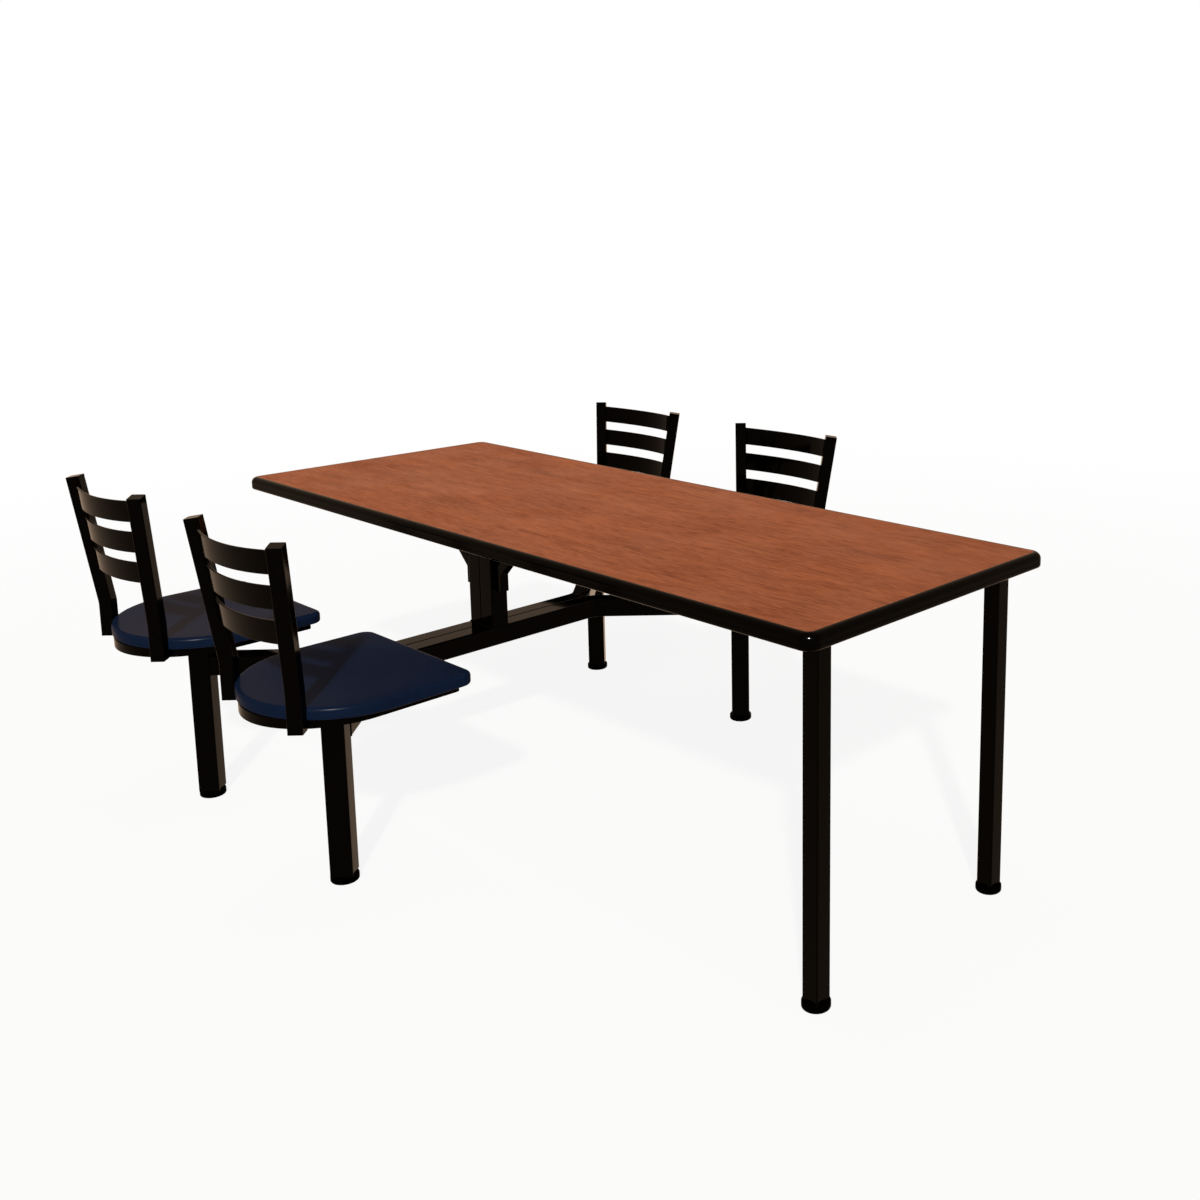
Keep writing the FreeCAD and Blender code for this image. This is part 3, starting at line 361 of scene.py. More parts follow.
    def spin(self, centre: Vector, axis: Vector, angle: float, steps: int) -> None:
        """Sweep what is picked about an axis; the operator counts angles the other way."""
        bpy.ops.mesh.spin(steps=steps, angle=-angle, center=tuple(centre), axis=tuple(axis))

    def inset(self, thickness: float, depth: float = 0.0) -> None:
        """Inset what is picked and raise it along its normal."""
        bpy.ops.mesh.inset(thickness=thickness, depth=depth, use_even_offset=True)

    def round_points(self, radius: float, facets: int) -> None:
        """Round the picked corners of a flat outline."""
        bpy.ops.mesh.bevel(offset=radius, segments=facets, affect="VERTICES",
                           clamp_overlap=False)

    def round_edges(self, radius: float, facets: int) -> None:
        """Round the picked edges."""
        bpy.ops.mesh.bevel(offset=radius, segments=facets, affect="EDGES",
                           clamp_overlap=False)

    def move(self, step: Iterable[float]) -> None:
        """Move what is picked."""
        bpy.ops.transform.translate(value=tuple(step))

    def roll(self, radius: float, facets: int) -> None:
        """Turn the picked end face inwards along a quarter round, as a rolled rim.

        Args:
            radius: Radius of the round.
            facets: Number of facets.
        """
        share = math.pi / 2 / facets
        for i in range(facets):
            inwards = radius * (math.cos(i * share) - math.cos((i + 1) * share))
            outwards = radius * (math.sin((i + 1) * share) - math.sin(i * share))
            self.inset(inwards, outwards)

    def bisect(self, point: Iterable[float], normal: Iterable[float]) -> None:
        """Cut what is picked along a plane, and keep both sides."""
        bpy.ops.mesh.bisect(plane_co=tuple(point), plane_no=tuple(normal))

    def follow(self, path: Iterable[Straight | Bend]) -> None:
        """Sweep what is picked along runs and bends."""
        for run in path:
            run.draw(self)

    def close(self) -> None:
        """Point every face outwards and leave edit mode."""
        bpy.ops.mesh.select_mode(type="VERT")
        self.pick_all()
        bpy.ops.mesh.remove_doubles(threshold=TINY)
        bpy.ops.mesh.normals_make_consistent(inside=False)
        bpy.ops.object.mode_set(mode="OBJECT")

    def cut_with(self, *cutters: "Workpiece") -> None:
        """Take other pieces' volume away from this one.

        Args:
            *cutters: Closed pieces, which stay as they are.
        """
        for cutter in cutters:
            self.choose()
            modifier = self.obj.modifiers.new("cut", "BOOLEAN")
            modifier.operation = "DIFFERENCE"
            modifier.solver = "EXACT"
            modifier.object = cutter.obj
            bpy.ops.object.modifier_apply(modifier=modifier.name)

    def shade(self, angle: float = SMOOTH) -> None:
        """Smooth the rounds and keep the flats flat.

        Args:
            angle: Sharpest turn in degrees that still counts as round.
        """
        self.choose()
        bpy.ops.object.shade_smooth_by_angle(angle=math.radians(angle))
        modifier = self.obj.modifiers.new("flats", "WEIGHTED_NORMAL")
        modifier.keep_sharp = True
        bpy.ops.object.modifier_apply(modifier=modifier.name)

    def complete(self, angle: float = SMOOTH) -> None:
        """Close the piece and smooth its rounds."""
        self.close()
        self.shade(angle)

    def join(self, *others: "Workpiece") -> None:
        """Take other pieces into this one's mesh.

        Args:
            *others: Pieces that become part of this one.
        """
        self.choose()
        for other in others:
            other.obj.select_set(True)
        bpy.ops.object.join()

    def copy(self, name: str, turn: float = 0.0, step: Iterable[float] = NONE) -> "Workpiece":
        """Copy this piece with a mesh of its own, turned about Z and then moved.

        Args:
            name: Name of the copy.
            turn: Angle in radians about the Z axis.
            step: Move after the turn.

        Returns:
            The copy, in object mode.
        """
        self.choose()
        bpy.ops.object.duplicate(linked=False)
        double = object.__new__(Workpiece)
        double.obj = bpy.context.object
        double.rename(name)
        double.obj.rotation_euler = (0.0, 0.0, turn)
        double.obj.location = tuple(step)
        double.settle()
        return double

    def scrap(self) -> None:
        """Remove this piece, once its copies are made."""
        mesh = self.obj.data
        bpy.data.objects.remove(self.obj)
        bpy.data.meshes.remove(mesh)

    def fit(self, body: Body, slot: Slot, material: bpy.types.Material, *nodes: str) -> None:
        """Hand the finished piece over: its finish, its body and the nodes it stands for.

        Args:
            body: Body that it rides on.
            slot: Record slot of its finish; not used.
            material: Its finish.
            *nodes: CAD nodes that it replaces.
        """
        self.obj.data.materials.clear()
        self.obj.data.materials.append(material)
        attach(self.obj, body.value)
        if nodes:
            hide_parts(*nodes)
        log.info("%s: %d faces on %s", self.obj.name, len(self.obj.data.polygons), body.value)


def swept_bar(name: str, start: Iterable[float], section: Pair, corner: float,
              path: Iterable[Straight | Bend], turn: Triple = NONE,
              facets: int = TUBE_FACETS) -> Workpiece:
    """Bar with round corners, swept along a path.

    Args:
        name: Name of the piece.
        start: Middle of its first end.
        section: Width and depth of its section.
        corner: Corner radius of its section.
        path: Runs and bends from that end to the other.
        turn: Euler angles of its first end.
        facets: Number of facets of each corner.

    Returns:
        The bar, in edit mode with its far end picked.
    """
    bar = Workpiece.plane(name, start, section, turn)
    bar.round_points(corner, facets)
    bar.pick_all()
    bar.follow(path)
    return bar


def rounded_slab(name: str, centre: Triple, size: Pair, corner: float,
                 depth: float) -> Workpiece:
    """Flat plate with round corners and broken edges.

    Args:
        name: Name of the piece.
        centre: Middle of its lower face.
        size: Length and width.
        corner: Corner radius.
        depth: Thickness.

    Returns:
        The plate, in object mode.
    """
    plate = Workpiece.plane(name, centre, size)
    plate.round_points(corner, PLATE_FACETS)
    plate.raise_by(depth)
    low, high = centre[2], centre[2] + depth
    plate.pick_edges(lambda a, b: abs(a.z - b.z) < TINY
                     and (abs(a.z - low) < TINY or abs(a.z - high) < TINY))
    plate.round_edges(BROKEN_EDGE, BROKEN_FACETS)
    plate.complete()
    return plate


def bead_row(name: str, start: Iterable[float], end: Iterable[float], radius: float,
             pitch: float) -> Workpiece:
    """Straight row of overlapping weld beads.

    Args:
        name: Name of the piece.
        start: Middle of the first bead.
        end: Middle of the last bead.
        radius: Bead radius.
        pitch: Distance between beads.

    Returns:
        The row, in object mode.
    """
    run = Vector(end) - Vector(start)
    count = max(2, round(run.length / pitch) + 1)
    bead = Workpiece.bead(name, start, radius)
    bead.close()
    bead.choose()
    modifier = bead.obj.modifiers.new("row", "ARRAY")
    modifier.use_relative_offset = False
    modifier.use_constant_offset = True
    modifier.constant_offset_displace = run / (count - 1)
    modifier.count = count
    bpy.ops.object.modifier_apply(modifier=modifier.name)
    bpy.ops.object.shade_smooth()
    return bead


def weld(name: str, seams: list[Seam], radius: float, pitch: float) -> Workpiece:
    """Weld along several straight seams, as one piece.

    Args:
        name: Name of the piece.
        seams: Both ends of each seam.
        radius: Bead radius.
        pitch: Distance between beads.

    Returns:
        The welds, in object mode.
    """
    rows = [bead_row(name, start, end, radius, pitch) for start, end in seams]
    rows[0].join(*rows[1:])
    return rows[0]


# ---------------------------------------------------------------------------
# finishes


@dataclass(frozen=True)
class Grain:
    """Noise of one layer of a finish.

    Attributes:
        scale: How fine it is.
        detail: Number of its finer octaves.
        rough: Strength of those octaves.
        warp: How wavy it is.
        stretch: Scale of the place along each axis; none leaves the place as it is.
        turn: Turn of the place.
        shift: Move of the place.
    """

    scale: float
    detail: float = 3.0
    rough: float = 0.5
    warp: float = 0.0
    stretch: Triple | None = None
    turn: Triple = NONE
    shift: Triple = NONE


class Finish:
    """Node tree of one material, with short calls that add and join its nodes.

    Attributes:
        material: The material; a world has none.
        tree: Its nodes.
        shader: Its principled shader.
        place: Coordinates that its patterns follow.
    """

    def __init__(self, name: str) -> None:
        """Start a material with a lone principled shader.

        Args:
            name: Name of the material.
        """
        self.material = bpy.data.materials.new(name)
        self.material.use_nodes = True
        self.tree = self.material.node_tree
        self.tree.nodes.clear()
        self.shader = self.add("ShaderNodeBsdfPrincipled")
        output = self.add("ShaderNodeOutputMaterial")
        self.tree.links.new(self.shader.outputs["BSDF"], output.inputs["Surface"])
        self.place = self.add("ShaderNodeTexCoord").outputs["Object"]

    @classmethod
    def for_world(cls, world: bpy.types.World) -> "Finish":
        """Start an empty tree for a world.

        Args:
            world: The world.

        Returns:
            Its tree, with no shader and no place.
        """
        bench = object.__new__(cls)
        bench.tree = world.node_tree
        bench.tree.nodes.clear()
        return bench

    def add(self, kind: str, **settings: object) -> bpy.types.Node:
        """Add a node and set its options.

        Args:
            kind: Type of the node.
            **settings: Its options.

        Returns:
            The node.
        """
        node = self.tree.nodes.new(kind)
        for key, setting in settings.items():
            setattr(node, key, setting)
        return node

    def feed(self, socket: Socket, source: object) -> None:
        """Join an output to a socket, or set the socket's own value.

        Args:
            socket: Where it goes.
            source: An output, a number, a colour or a vector.
        """
        if isinstance(source, Socket):
            self.tree.links.new(source, socket)
        elif isinstance(source, tuple) and socket.type == "RGBA":
            socket.default_value = (*source, 1.0)
        else:
            socket.default_value = source

    def feed_all(self, node: bpy.types.Node, **sources: object) -> None:
        """Feed a node's inputs by name, with underscores for spaces."""
        for key, source in sources.items():
            self.feed(node.inputs[key.replace("_", " ")], source)

    def glow(self, colour: object, kind: str = "ShaderNodeEmission") -> Socket:
        """Emission of a colour.

        Args:
            colour: A colour or an output.
            kind: Type of the shader node.

        Returns:
            The shader.
        """
        node = self.add(kind)
        self.feed(node.inputs["Color"], colour)
        return node.outputs[0]

    def mix_shaders(self, share: object, first: Socket, second: Socket) -> Socket:
        """Mix two shaders.

        Args:
            share: Share of the second.
            first: Shader at a share of 0.
            second: Shader at a share of 1.

        Returns:
            The mixed shader.
        """
        node = self.add("ShaderNodeMixShader")
        for socket, source in zip(node.inputs, (share, first, second)):
            self.feed(socket, source)
        return node.outputs["Shader"]

    def finish(self, surface: Socket, kind: str = "ShaderNodeOutputMaterial") -> None:
        """Join a shader to the output.

        Args:
            surface: The shader.
            kind: Type of the output node, which is added if the tree has none.
        """
        outputs = [n for n in self.tree.nodes if n.bl_idname == kind]
        output = outputs[0] if outputs else self.add(kind)
        self.tree.links.new(surface, output.inputs["Surface"])

    def noise(self, grain: Grain) -> Socket:
        """Noise value between 0 and 1, mostly near a half.

        Args:
            grain: Its scale, its octaves and its stretch.

        Returns:
            The value.
        """
        place = self.place
        if grain.stretch:
            mapping = self.add("ShaderNodeMapping")
            self.feed_all(mapping, Vector=place, Scale=grain.stretch, Rotation=grain.turn,
                          Location=grain.shift)
            place = mapping.outputs["Vector"]
        node = self.add("ShaderNodeTexNoise")
        self.feed_all(node, Vector=place, Scale=grain.scale, Detail=grain.detail,
                      Roughness=grain.rough, Distortion=grain.warp)
        return node.outputs["Fac"]

    def spread(self, value: Socket, low: float, high: float, to_low: float = 0.0,
               to_high: float = 1.0) -> Socket:
        """Map one range onto another, held at its ends.

        Args:
            value: Value to map.
            low: Value that becomes to_low.
            high: Value that becomes to_high.
            to_low: Lowest result.
            to_high: Highest result.

        Returns:
            The mapped value.
        """
        node = self.add("ShaderNodeMapRange", interpolation_type="SMOOTHSTEP")
        self.feed_all(node, Value=value, From_Min=low, From_Max=high, To_Min=to_low,
                      To_Max=to_high)
        return node.outputs["Result"]

    def work(self, operation: str, first: object, second: object) -> Socket:
        """Arithmetic on two numbers.

        Args:
            operation: Blender's name of the operation.
            first: A number or an output.
            second: A number or an output.

        Returns:
            The result.
        """
        node = self.add("ShaderNodeMath", operation=operation)
        self.feed(node.inputs[0], first)
        self.feed(node.inputs[1], second)
        return node.outputs["Value"]

    def part(self, value: Socket, share: float) -> Socket:
        """A value times a share."""
        return self.work("MULTIPLY", value, share)

    def layers(self, *parts: tuple[Socket, float]) -> Socket:
        """Sum of values, each times its share.

        Args:
            *parts: Each value and its share.

        Returns:
            The sum.
        """
        total = self.part(*parts[0])
        for value, share in parts[1:]:
            total = self.work("ADD", total, self.part(value, share))
        return total

    def colours(self, value: Socket, stops: Stops) -> Socket:
        """Colour ramp.

        Args:
            value: Place on the ramp.
            stops: Position and colour of each stop.

        Returns:
            The colour.
        """
        node = self.add("ShaderNodeValToRGB")
        ramp = node.color_ramp
        while len(ramp.elements) < len(stops):
            ramp.elements.new(0.5)
        for element, (position, colour) in zip(ramp.elements, stops):
            element.position = position
            element.color = (*colour, 1.0)
        self.feed(node.inputs["Fac"], value)
        return node.outputs["Color"]

    def blend(self, share: object, first: object, second: object) -> Socket:
        """Mix two colours.

        Args:
            share: Share of the second.
            first: Colour at a share of 0.
            second: Colour at a share of 1.

        Returns:
            The mixed colour.
        """
        node = self.add("ShaderNodeMix", data_type="RGBA")
        self.feed(node.inputs["Factor"], share)
        self.feed(node.inputs[6], first)
        self.feed(node.inputs[7], second)
        return node.outputs[2]

    def bump(self, height: Socket, strength: float, distance: float,
             below: Socket | None = None) -> Socket:
        """Bump from a height.

        Args:
            height: Height of the surface.
            strength: Share of it that shows.
            distance: Length of a height of 1.
            below: Normal of an earlier bump that this one lies on.

        Returns:
            The bumped normal.
        """
        node = self.add("ShaderNodeBump")
        self.feed_all(node, Height=height, Strength=strength, Distance=distance)
        if below is not None:
            self.feed(node.inputs["Normal"], below)
        return node.outputs["Normal"]

    def dress(self, **sockets: object) -> bpy.types.Material:
        """Set or join the shader's sockets and return the material."""
        self.feed_all(self.shader, **sockets)
        return self.material


@dataclass(frozen=True)
class CherryLaminate:
    """Satin laminate printed with cherry grain that runs along the top.

    Attributes:
        dark: Darkest streaks.
        middle: Main tone.
        light: Lightest streaks.
        pore: Tone of the pores.
        pore_share: How far the pores take that tone.
        satin: Lowest and highest roughness.
        specular: Strength of the shine.
        figure: Soft clouds of the wood.
        streaks: Long grain.
        dashes: Short dark strokes.
        fibre: Hair-fine lines.
        pores: Finest strokes.
        shares: Shares of figure, streaks, dashes and fibre in the tone.
        rubbed: Patches rubbed smoother.
        tooth: Fine tooth of the surface.
    """

    dark: Triple = (0.170, 0.042, 0.016)
    middle: Triple = (0.289, 0.081, 0.032)
    light: Triple = (0.390, 0.120, 0.049)
    pore: Triple = (0.13, 0.036, 0.018)
    pore_share: float = 0.30
    satin: Pair = (0.44, 0.54)
    specular: float = 0.03
    figure: Grain = Grain(1.3, 3.0, 0.6, 0.8, (3.0, 13.0, 1.0))
    streaks: Grain = Grain(2.2, 5.0, 0.62, 0.8, (7.0, 62.0, 1.0))
    dashes: Grain = Grain(1.6, 3.0, 0.62, 0.0, (22.0, 190.0, 1.0), shift=(3.1, 7.7, 0.0))
    fibre: Grain = Grain(2.0, 2.0, 0.6, 0.0, (20.0, 460.0, 1.0))
    pores: Grain = Grain(1.8, 2.0, 0.5, 0.0, (34.0, 420.0, 1.0))
    shares: tuple[float, ...] = (0.24, 0.34, 0.22, 0.20)
    rubbed: Grain = Grain(7.0, 4.0)
    tooth: Grain = Grain(900.0, 2.0)

    def make(self) -> bpy.types.Material:
        """Build the material: soft figure, long grain, short pores and a satin bump."""
        f = Finish(Slot.LAMINATE.value)
        figure, streaks, dashes, fibre = (
            f.noise(layer) for layer in (self.figure, self.streaks, self.dashes, self.fibre))
        pores = f.spread(f.noise(self.pores), 0.58, 0.72)
        tone = f.layers(*zip((figure, streaks, dashes, fibre), self.shares))
        colour = f.colours(tone, ((0.40, self.dark), (0.50, self.middle), (0.60, self.light)))
        colour = f.blend(f.part(pores, self.pore_share), colour, self.pore)
        satin = f.spread(f.noise(self.rubbed), 0.3, 0.7, *self.satin)
        fine = f.bump(f.noise(self.tooth), 0.05, 0.0004)
        return f.dress(Base_Color=colour, Roughness=satin, Specular_IOR_Level=self.specular,
                       Normal=f.bump(streaks, 0.03, 0.0006, fine))


@dataclass(frozen=True)
class Lacquer:
    """Smooth dark coating: baked enamel, moulded vinyl or plastic.

    Attributes:
        slot: Slot that it finishes.
        worn: Tone of scuffs and dust.
        gloss: Lowest and highest roughness.
        scuff: Share of the scuffs' tone.
        skin: Scale and strength of the surface's fine waves.
        specular: Strength of its shine.
        colour: Main tone.
        cloud: Wide patches.
        dust: Specks of the scuffs.
        streak: Upright strokes in the gloss.
    """

    slot: Slot
    worn: Triple
    gloss: Pair
    scuff: float
    skin: Pair
    specular: float
    colour: Triple = (0.0003, 0.0002, 0.0001)
    cloud: Grain = Grain(4.0, 4.0, 0.6)
    dust: Grain = Grain(55.0, 5.0, 0.7)
    streak: Grain = Grain(1.0, 3.0, 0.6, 0.0, (160.0, 160.0, 9.0))

    def make(self) -> bpy.types.Material:
        """Build the material: soft tone, fine waves, and rubbed patches in its gloss."""
        f = Finish(self.slot.value)
        cloud = f.noise(self.cloud)
        dust = f.spread(f.noise(self.dust), 0.52, 0.72)
        streak = f.noise(self.streak)
        rub = f.work("MULTIPLY", dust, f.spread(cloud, 0.35, 0.65))
        colour = f.blend(f.part(rub, self.scuff), self.colour, self.worn)
        rough = f.spread(f.layers((cloud, 0.6), (streak, 0.4)), 0.3, 0.7, *self.gloss)
        wave, strength = self.skin
        return f.dress(Base_Color=colour, Roughness=rough, Specular_IOR_Level=self.specular,
                       Normal=f.bump(f.noise(Grain(wave, 2.0)), strength, 0.0005))


@dataclass(frozen=True)
class Composite:
    """Glossy gel-coated seat moulding.

    Attributes:
        deep: Main tone.
        pale: Tone of the faint clouds in the gel coat.
        fleck: Tone of its fine specks.
        fleck_share: How far the specks take that tone.
        gloss: Lowest and highest roughness.
        specular: Strength of its shine.
        cloud: Faint clouds.
        specks: Fine specks.
        wiped: Swirls left by wiping.
        skin: Slow waves of the moulding.
    """

    deep: Triple = (0.0040, 0.0092, 0.0262)
    pale: Triple = (0.0052, 0.0112, 0.0300)
    fleck: Triple = (0.05, 0.07, 0.11)
    fleck_share: float = 0.05
    gloss: Pair = (0.24, 0.27)
    specular: float = 0.005
    cloud: Grain = Grain(9.0, 4.0, 0.6)
    specks: Grain = Grain(700.0, 2.0)
    wiped: Grain = Grain(1.0, 5.0, 0.65, 1.2, (30.0, 6.0, 10.0), (0.0, 0.0, 0.5))
    skin: Grain = Grain(45.0, 1.0)

    def make(self) -> bpy.types.Material:
        """Build the material: faint clouds, fine specks, swirls from wiping, slow waves."""
        f = Finish(Slot.SEAT.value)
        speck = f.spread(f.noise(self.specks), 0.62, 0.80)
        colour = f.colours(f.noise(self.cloud), ((0.3, self.deep), (0.7, self.pale)))
        colour = f.blend(f.part(speck, self.fleck_share), colour, self.fleck)
        rough = f.spread(f.noise(self.wiped), 0.3, 0.7, *self.gloss)
        return f.dress(Base_Color=colour, Roughness=rough, Specular_IOR_Level=self.specular,
                       Normal=f.bump(f.noise(self.skin), 0.008, 0.0005))


@dataclass(frozen=True)
class ChipBoard:
    """Raw particle board.

    Attributes:
        dark: Tone of the gaps.
        middle: Main tone.
        light: Tone of the palest chips.
        chip: Chips to a metre, along each axis.
        tone: Mottling of the chips.
    """

    dark: Triple = (0.16, 0.09, 0.045)
    middle: Triple = (0.34, 0.22, 0.12)
    light: Triple = (0.55, 0.40, 0.24)
    chip: Triple = (300.0, 500.0, 900.0)
    tone: Grain = Grain(400.0, 4.0, 0.7)

    def make(self) -> bpy.types.Material:
        """Build the material: light and dark chips with open gaps between."""
        f = Finish(Slot.CORE.value)
        mapping = f.add("ShaderNodeMapping")
        f.feed_all(mapping, Vector=f.place, Scale=self.chip)
        chips = f.add("ShaderNodeTexVoronoi")
        f.feed_all(chips, Vector=mapping.outputs["Vector"])
        colour = f.colours(f.noise(self.tone),
                           ((0.3, self.dark), (0.5, self.middle), (0.7, self.light)))
        return f.dress(Base_Color=colour, Roughness=0.85,
                       Normal=f.bump(chips.outputs["Distance"], 0.4, 0.0008))


@dataclass(frozen=True)
class BackerSheet:
    """Brown balancing sheet under the top.

    Attributes:
        dark: Main tone.
        light: Tone of the pale fibres.
        gloss: Lowest and highest roughness.
        fibre: Paper fibres.
        cloud: Wide patches.
    """

    dark: Triple = (0.035, 0.027, 0.021)
    light: Triple = (0.062, 0.048, 0.037)
    gloss: Pair = (0.5, 0.68)
    fibre: Grain = Grain(1.5, 5.0, 0.7, 0.8, (60.0, 240.0, 1.0))
    cloud: Grain = Grain(3.0, 4.0)

    def make(self) -> bpy.types.Material:
        """Build the material: paper fibres pressed in resin."""
        f = Finish(Slot.BACKER.value)
        fibre, cloud = f.noise(self.fibre), f.noise(self.cloud)
        tone = f.layers((fibre, 0.6), (cloud, 0.4))
        return f.dress(Base_Color=f.colours(tone, ((0.35, self.dark), (0.65, self.light))),
                       Roughness=f.spread(cloud, 0.3, 0.7, *self.gloss),
                       Normal=f.bump(fibre, 0.08, 0.0004))


@dataclass(frozen=True)
class BareMetal:
    """Machined or plated metal with fine tool lines.

    Attributes:
        slot: Slot that it finishes.
        colour: Main tone.
        stain: Tone of oil and oxide.
        gloss: Lowest and highest roughness.
        film: Patches of oil and oxide.
        lines: Tool lines.
    """

    slot: Slot
    colour: Triple
    stain: Triple
    gloss: Pair
    film: Grain = Grain(90.0, 4.0, 0.65)
    lines: Grain = Grain(1.0, 2.0, stretch=(40.0, 40.0, 2600.0))

    def make(self) -> bpy.types.Material:
        """Build the material: tool lines around, and a dull film in patches."""
        f = Finish(self.slot.value)
        film = f.spread(f.noise(self.film), 0.4, 0.68)
        lines = f.noise(self.lines)
        rough = f.spread(f.layers((film, 0.5), (lines, 0.5)), 0.2, 0.8, *self.gloss)
        return f.dress(Base_Color=f.blend(film, self.colour, self.stain), Metallic=1.0,
                       Roughness=rough, Normal=f.bump(lines, 0.12, 0.0002))


@dataclass(frozen=True)
class Nylon:
    """Milky washer plastic with grease in its pores.

    Attributes:
        colour: Main tone.
        grease: Tone of the grease.
        grease_share: How far the greasy patches take that tone.
        gloss: Roughness, clean and greasy.
        film: Greasy patches.
    """

    colour: Triple = (0.66, 0.64, 0.56)
    grease: Triple = (0.28, 0.25, 0.18)
    grease_share: float = 0.6
    gloss: Pair = (0.42, 0.6)
    film: Grain = Grain(130.0, 4.0, 0.7)

    def make(self) -> bpy.types.Material:
        """Build the material: faint mottling and grey grease."""
        f = Finish(Slot.WASHER.value)
        film = f.spread(f.noise(self.film), 0.5, 0.75)
        colour = f.blend(f.part(film, self.grease_share), self.colour, self.grease)
        return f.dress(Base_Color=colour, Roughness=f.spread(film, 0.0, 1.0, *self.gloss),
                       Normal=f.bump(film, 0.05, 0.0003))


class Paintshop:
    """Every finish of the table, made once.

    Attributes:
        finishes: Material of each slot.
    """

    def __init__(self) -> None:
        """Make the materials."""
        band = Lacquer(Slot.EDGE, worn=(0.006, 0.005, 0.004), gloss=(0.13, 0.17), scuff=0.08,
                       skin=(420.0, 0.002), specular=0.021)
        enamel = Lacquer(Slot.ENAMEL, worn=(0.016, 0.014, 0.012), gloss=(0.05, 0.10),
                         scuff=0.04, skin=(240.0, 0.004), specular=0.022)
        plastic = Lacquer(Slot.GLIDE, worn=(0.010, 0.009, 0.008), gloss=(0.30, 0.42),
                          scuff=0.06, skin=(320.0, 0.010), specular=0.002)
        steel = BareMetal(Slot.SWIVEL, colour=(0.10, 0.095, 0.09),
                          stain=(0.03, 0.028, 0.026), gloss=(0.28, 0.5))
        zinc = BareMetal(Slot.SCREW, colour=(0.62, 0.60, 0.55), stain=(0.36, 0.34, 0.30),
                         gloss=(0.22, 0.4))
        self.finishes = {
            Slot.LAMINATE: CherryLaminate().make(),
            Slot.CORE: ChipBoard().make(),
            Slot.BACKER: BackerSheet().make(),
            Slot.EDGE: band.make(),
            Slot.ENAMEL: enamel.make(),
            Slot.SWIVEL: steel.make(),
            Slot.SEAT: Composite().make(),
            Slot.GLIDE: plastic.make(),
            Slot.WASHER: Nylon().make(),
            Slot.SCREW: zinc.make(),
        }

    def paint_node(self, node: str, slot: Slot) -> None:
        """Give a CAD node that stays its finish.

        Args:
            node: Name of the node.
            slot: Slot of its finish.
        """
        materials = frame["nodes"][node].data.materials
        materials.clear()
        materials.append(self.finishes[slot])
        log.info("%s: CAD node in %s", node, slot.value)


# ---------------------------------------------------------------------------
# sub-assemblies


@dataclass
class SubAssembly:
    """Base of every sub-assembly, which dresses its pieces.

    Attributes:
        shop: Finishes to dress them in.
    """

    shop: Paintshop

    def fit(self, piece: Workpiece, body: Body, slot: Slot, *nodes: str) -> None:
        """Finish a piece and put it on its body."""
        piece.fit(body, slot, self.shop.finishes[slot], *nodes)

    def enamel(self, piece: Workpiece, *nodes: str) -> None:
        """Enamel a piece and fix it to the frame."""
        self.fit(piece, Body.FRAME, Slot.ENAMEL, *nodes)


@dataclass
class TableTop(SubAssembly):
    """Laminated top with a moulded edge band.

    Attributes:
        length: Over the edge band.
        width: Over the edge band.
        surface: Height of the laminate.
        depth: Thickness of the whole top.
        corner: Outer corner radius.
        corner_facets: Facets of each corner.
        band: Width of the edge band.
        crown: Radius of its upper round.
        crown_facets: Facets of that round.
        foot: Radius of its lower round.
        foot_facets: Facets of that round.
        groove_rise: Parting groove, above the underside.
        groove_height: Height of the groove.
        groove_depth: Depth of the groove.
        smooth: Sharpest turn in degrees that counts as round.
    """

    length: float = 2.040
    width: float = 0.762
    surface: float = 0.762
    depth: float = 0.0328
    corner: float = 0.0295
    corner_facets: int = 16
    band: float = 0.0159
    crown: float = 0.0140
    crown_facets: int = 12
    foot: float = 0.0060
    foot_facets: int = 6
    groove_rise: float = 0.0110
    groove_height: float = 0.0012
    groove_depth: float = 0.0008
    smooth: float = 50.0

    def build(self) -> None:
        """Model the band and finish the sheets."""
        self.model_band()
        self.shop.paint_node("tabletop_laminate", Slot.LAMINATE)
        self.shop.paint_node("tabletop_core", Slot.CORE)
        self.shop.paint_node("tabletop_backer", Slot.BACKER)
        self.shop.paint_node("underside_screws", Slot.SCREW)

    def model_band(self) -> None:
        """Band from one outline: sides, groove, crown and foot, then opened for the core."""
        underside = self.surface - self.depth
        start = underside + self.foot
        groove = underside + self.groove_rise
        groove_end = groove + self.groove_height
        band = Workpiece.plane("edge_band_round", (0.0, 0.0, start), (self.length, self.width))
        band.round_points(self.corner, self.corner_facets)
        band.pick_all()
        for low, high in ((start, groove), (groove, groove_end),
                          (groove_end, self.surface - self.crown)):
            band.raise_by(high - low)
        band.roll(self.crown, self.crown_facets)
        band.inset(self.band - self.crown)
        band.pick_faces(lambda c, n: n.z < -NEARLY_FLAT)
        band.roll(self.foot, self.foot_facets)
        band.inset(self.band - self.foot)
        middle = groove + self.groove_height / 2
        band.pick_faces(lambda c, n: abs(c.z - middle) < self.groove_height / 4)
        band.inset(self.groove_height / 6, -self.groove_depth)
        band.pick_faces(lambda c, n: abs(c.x) < self.length / 4 and abs(c.y) < self.width / 4)
        bpy.ops.mesh.bridge_edge_loops()
        band.complete(self.smooth)
        self.fit(band, Body.FRAME, Slot.EDGE, "tabletop_edge")


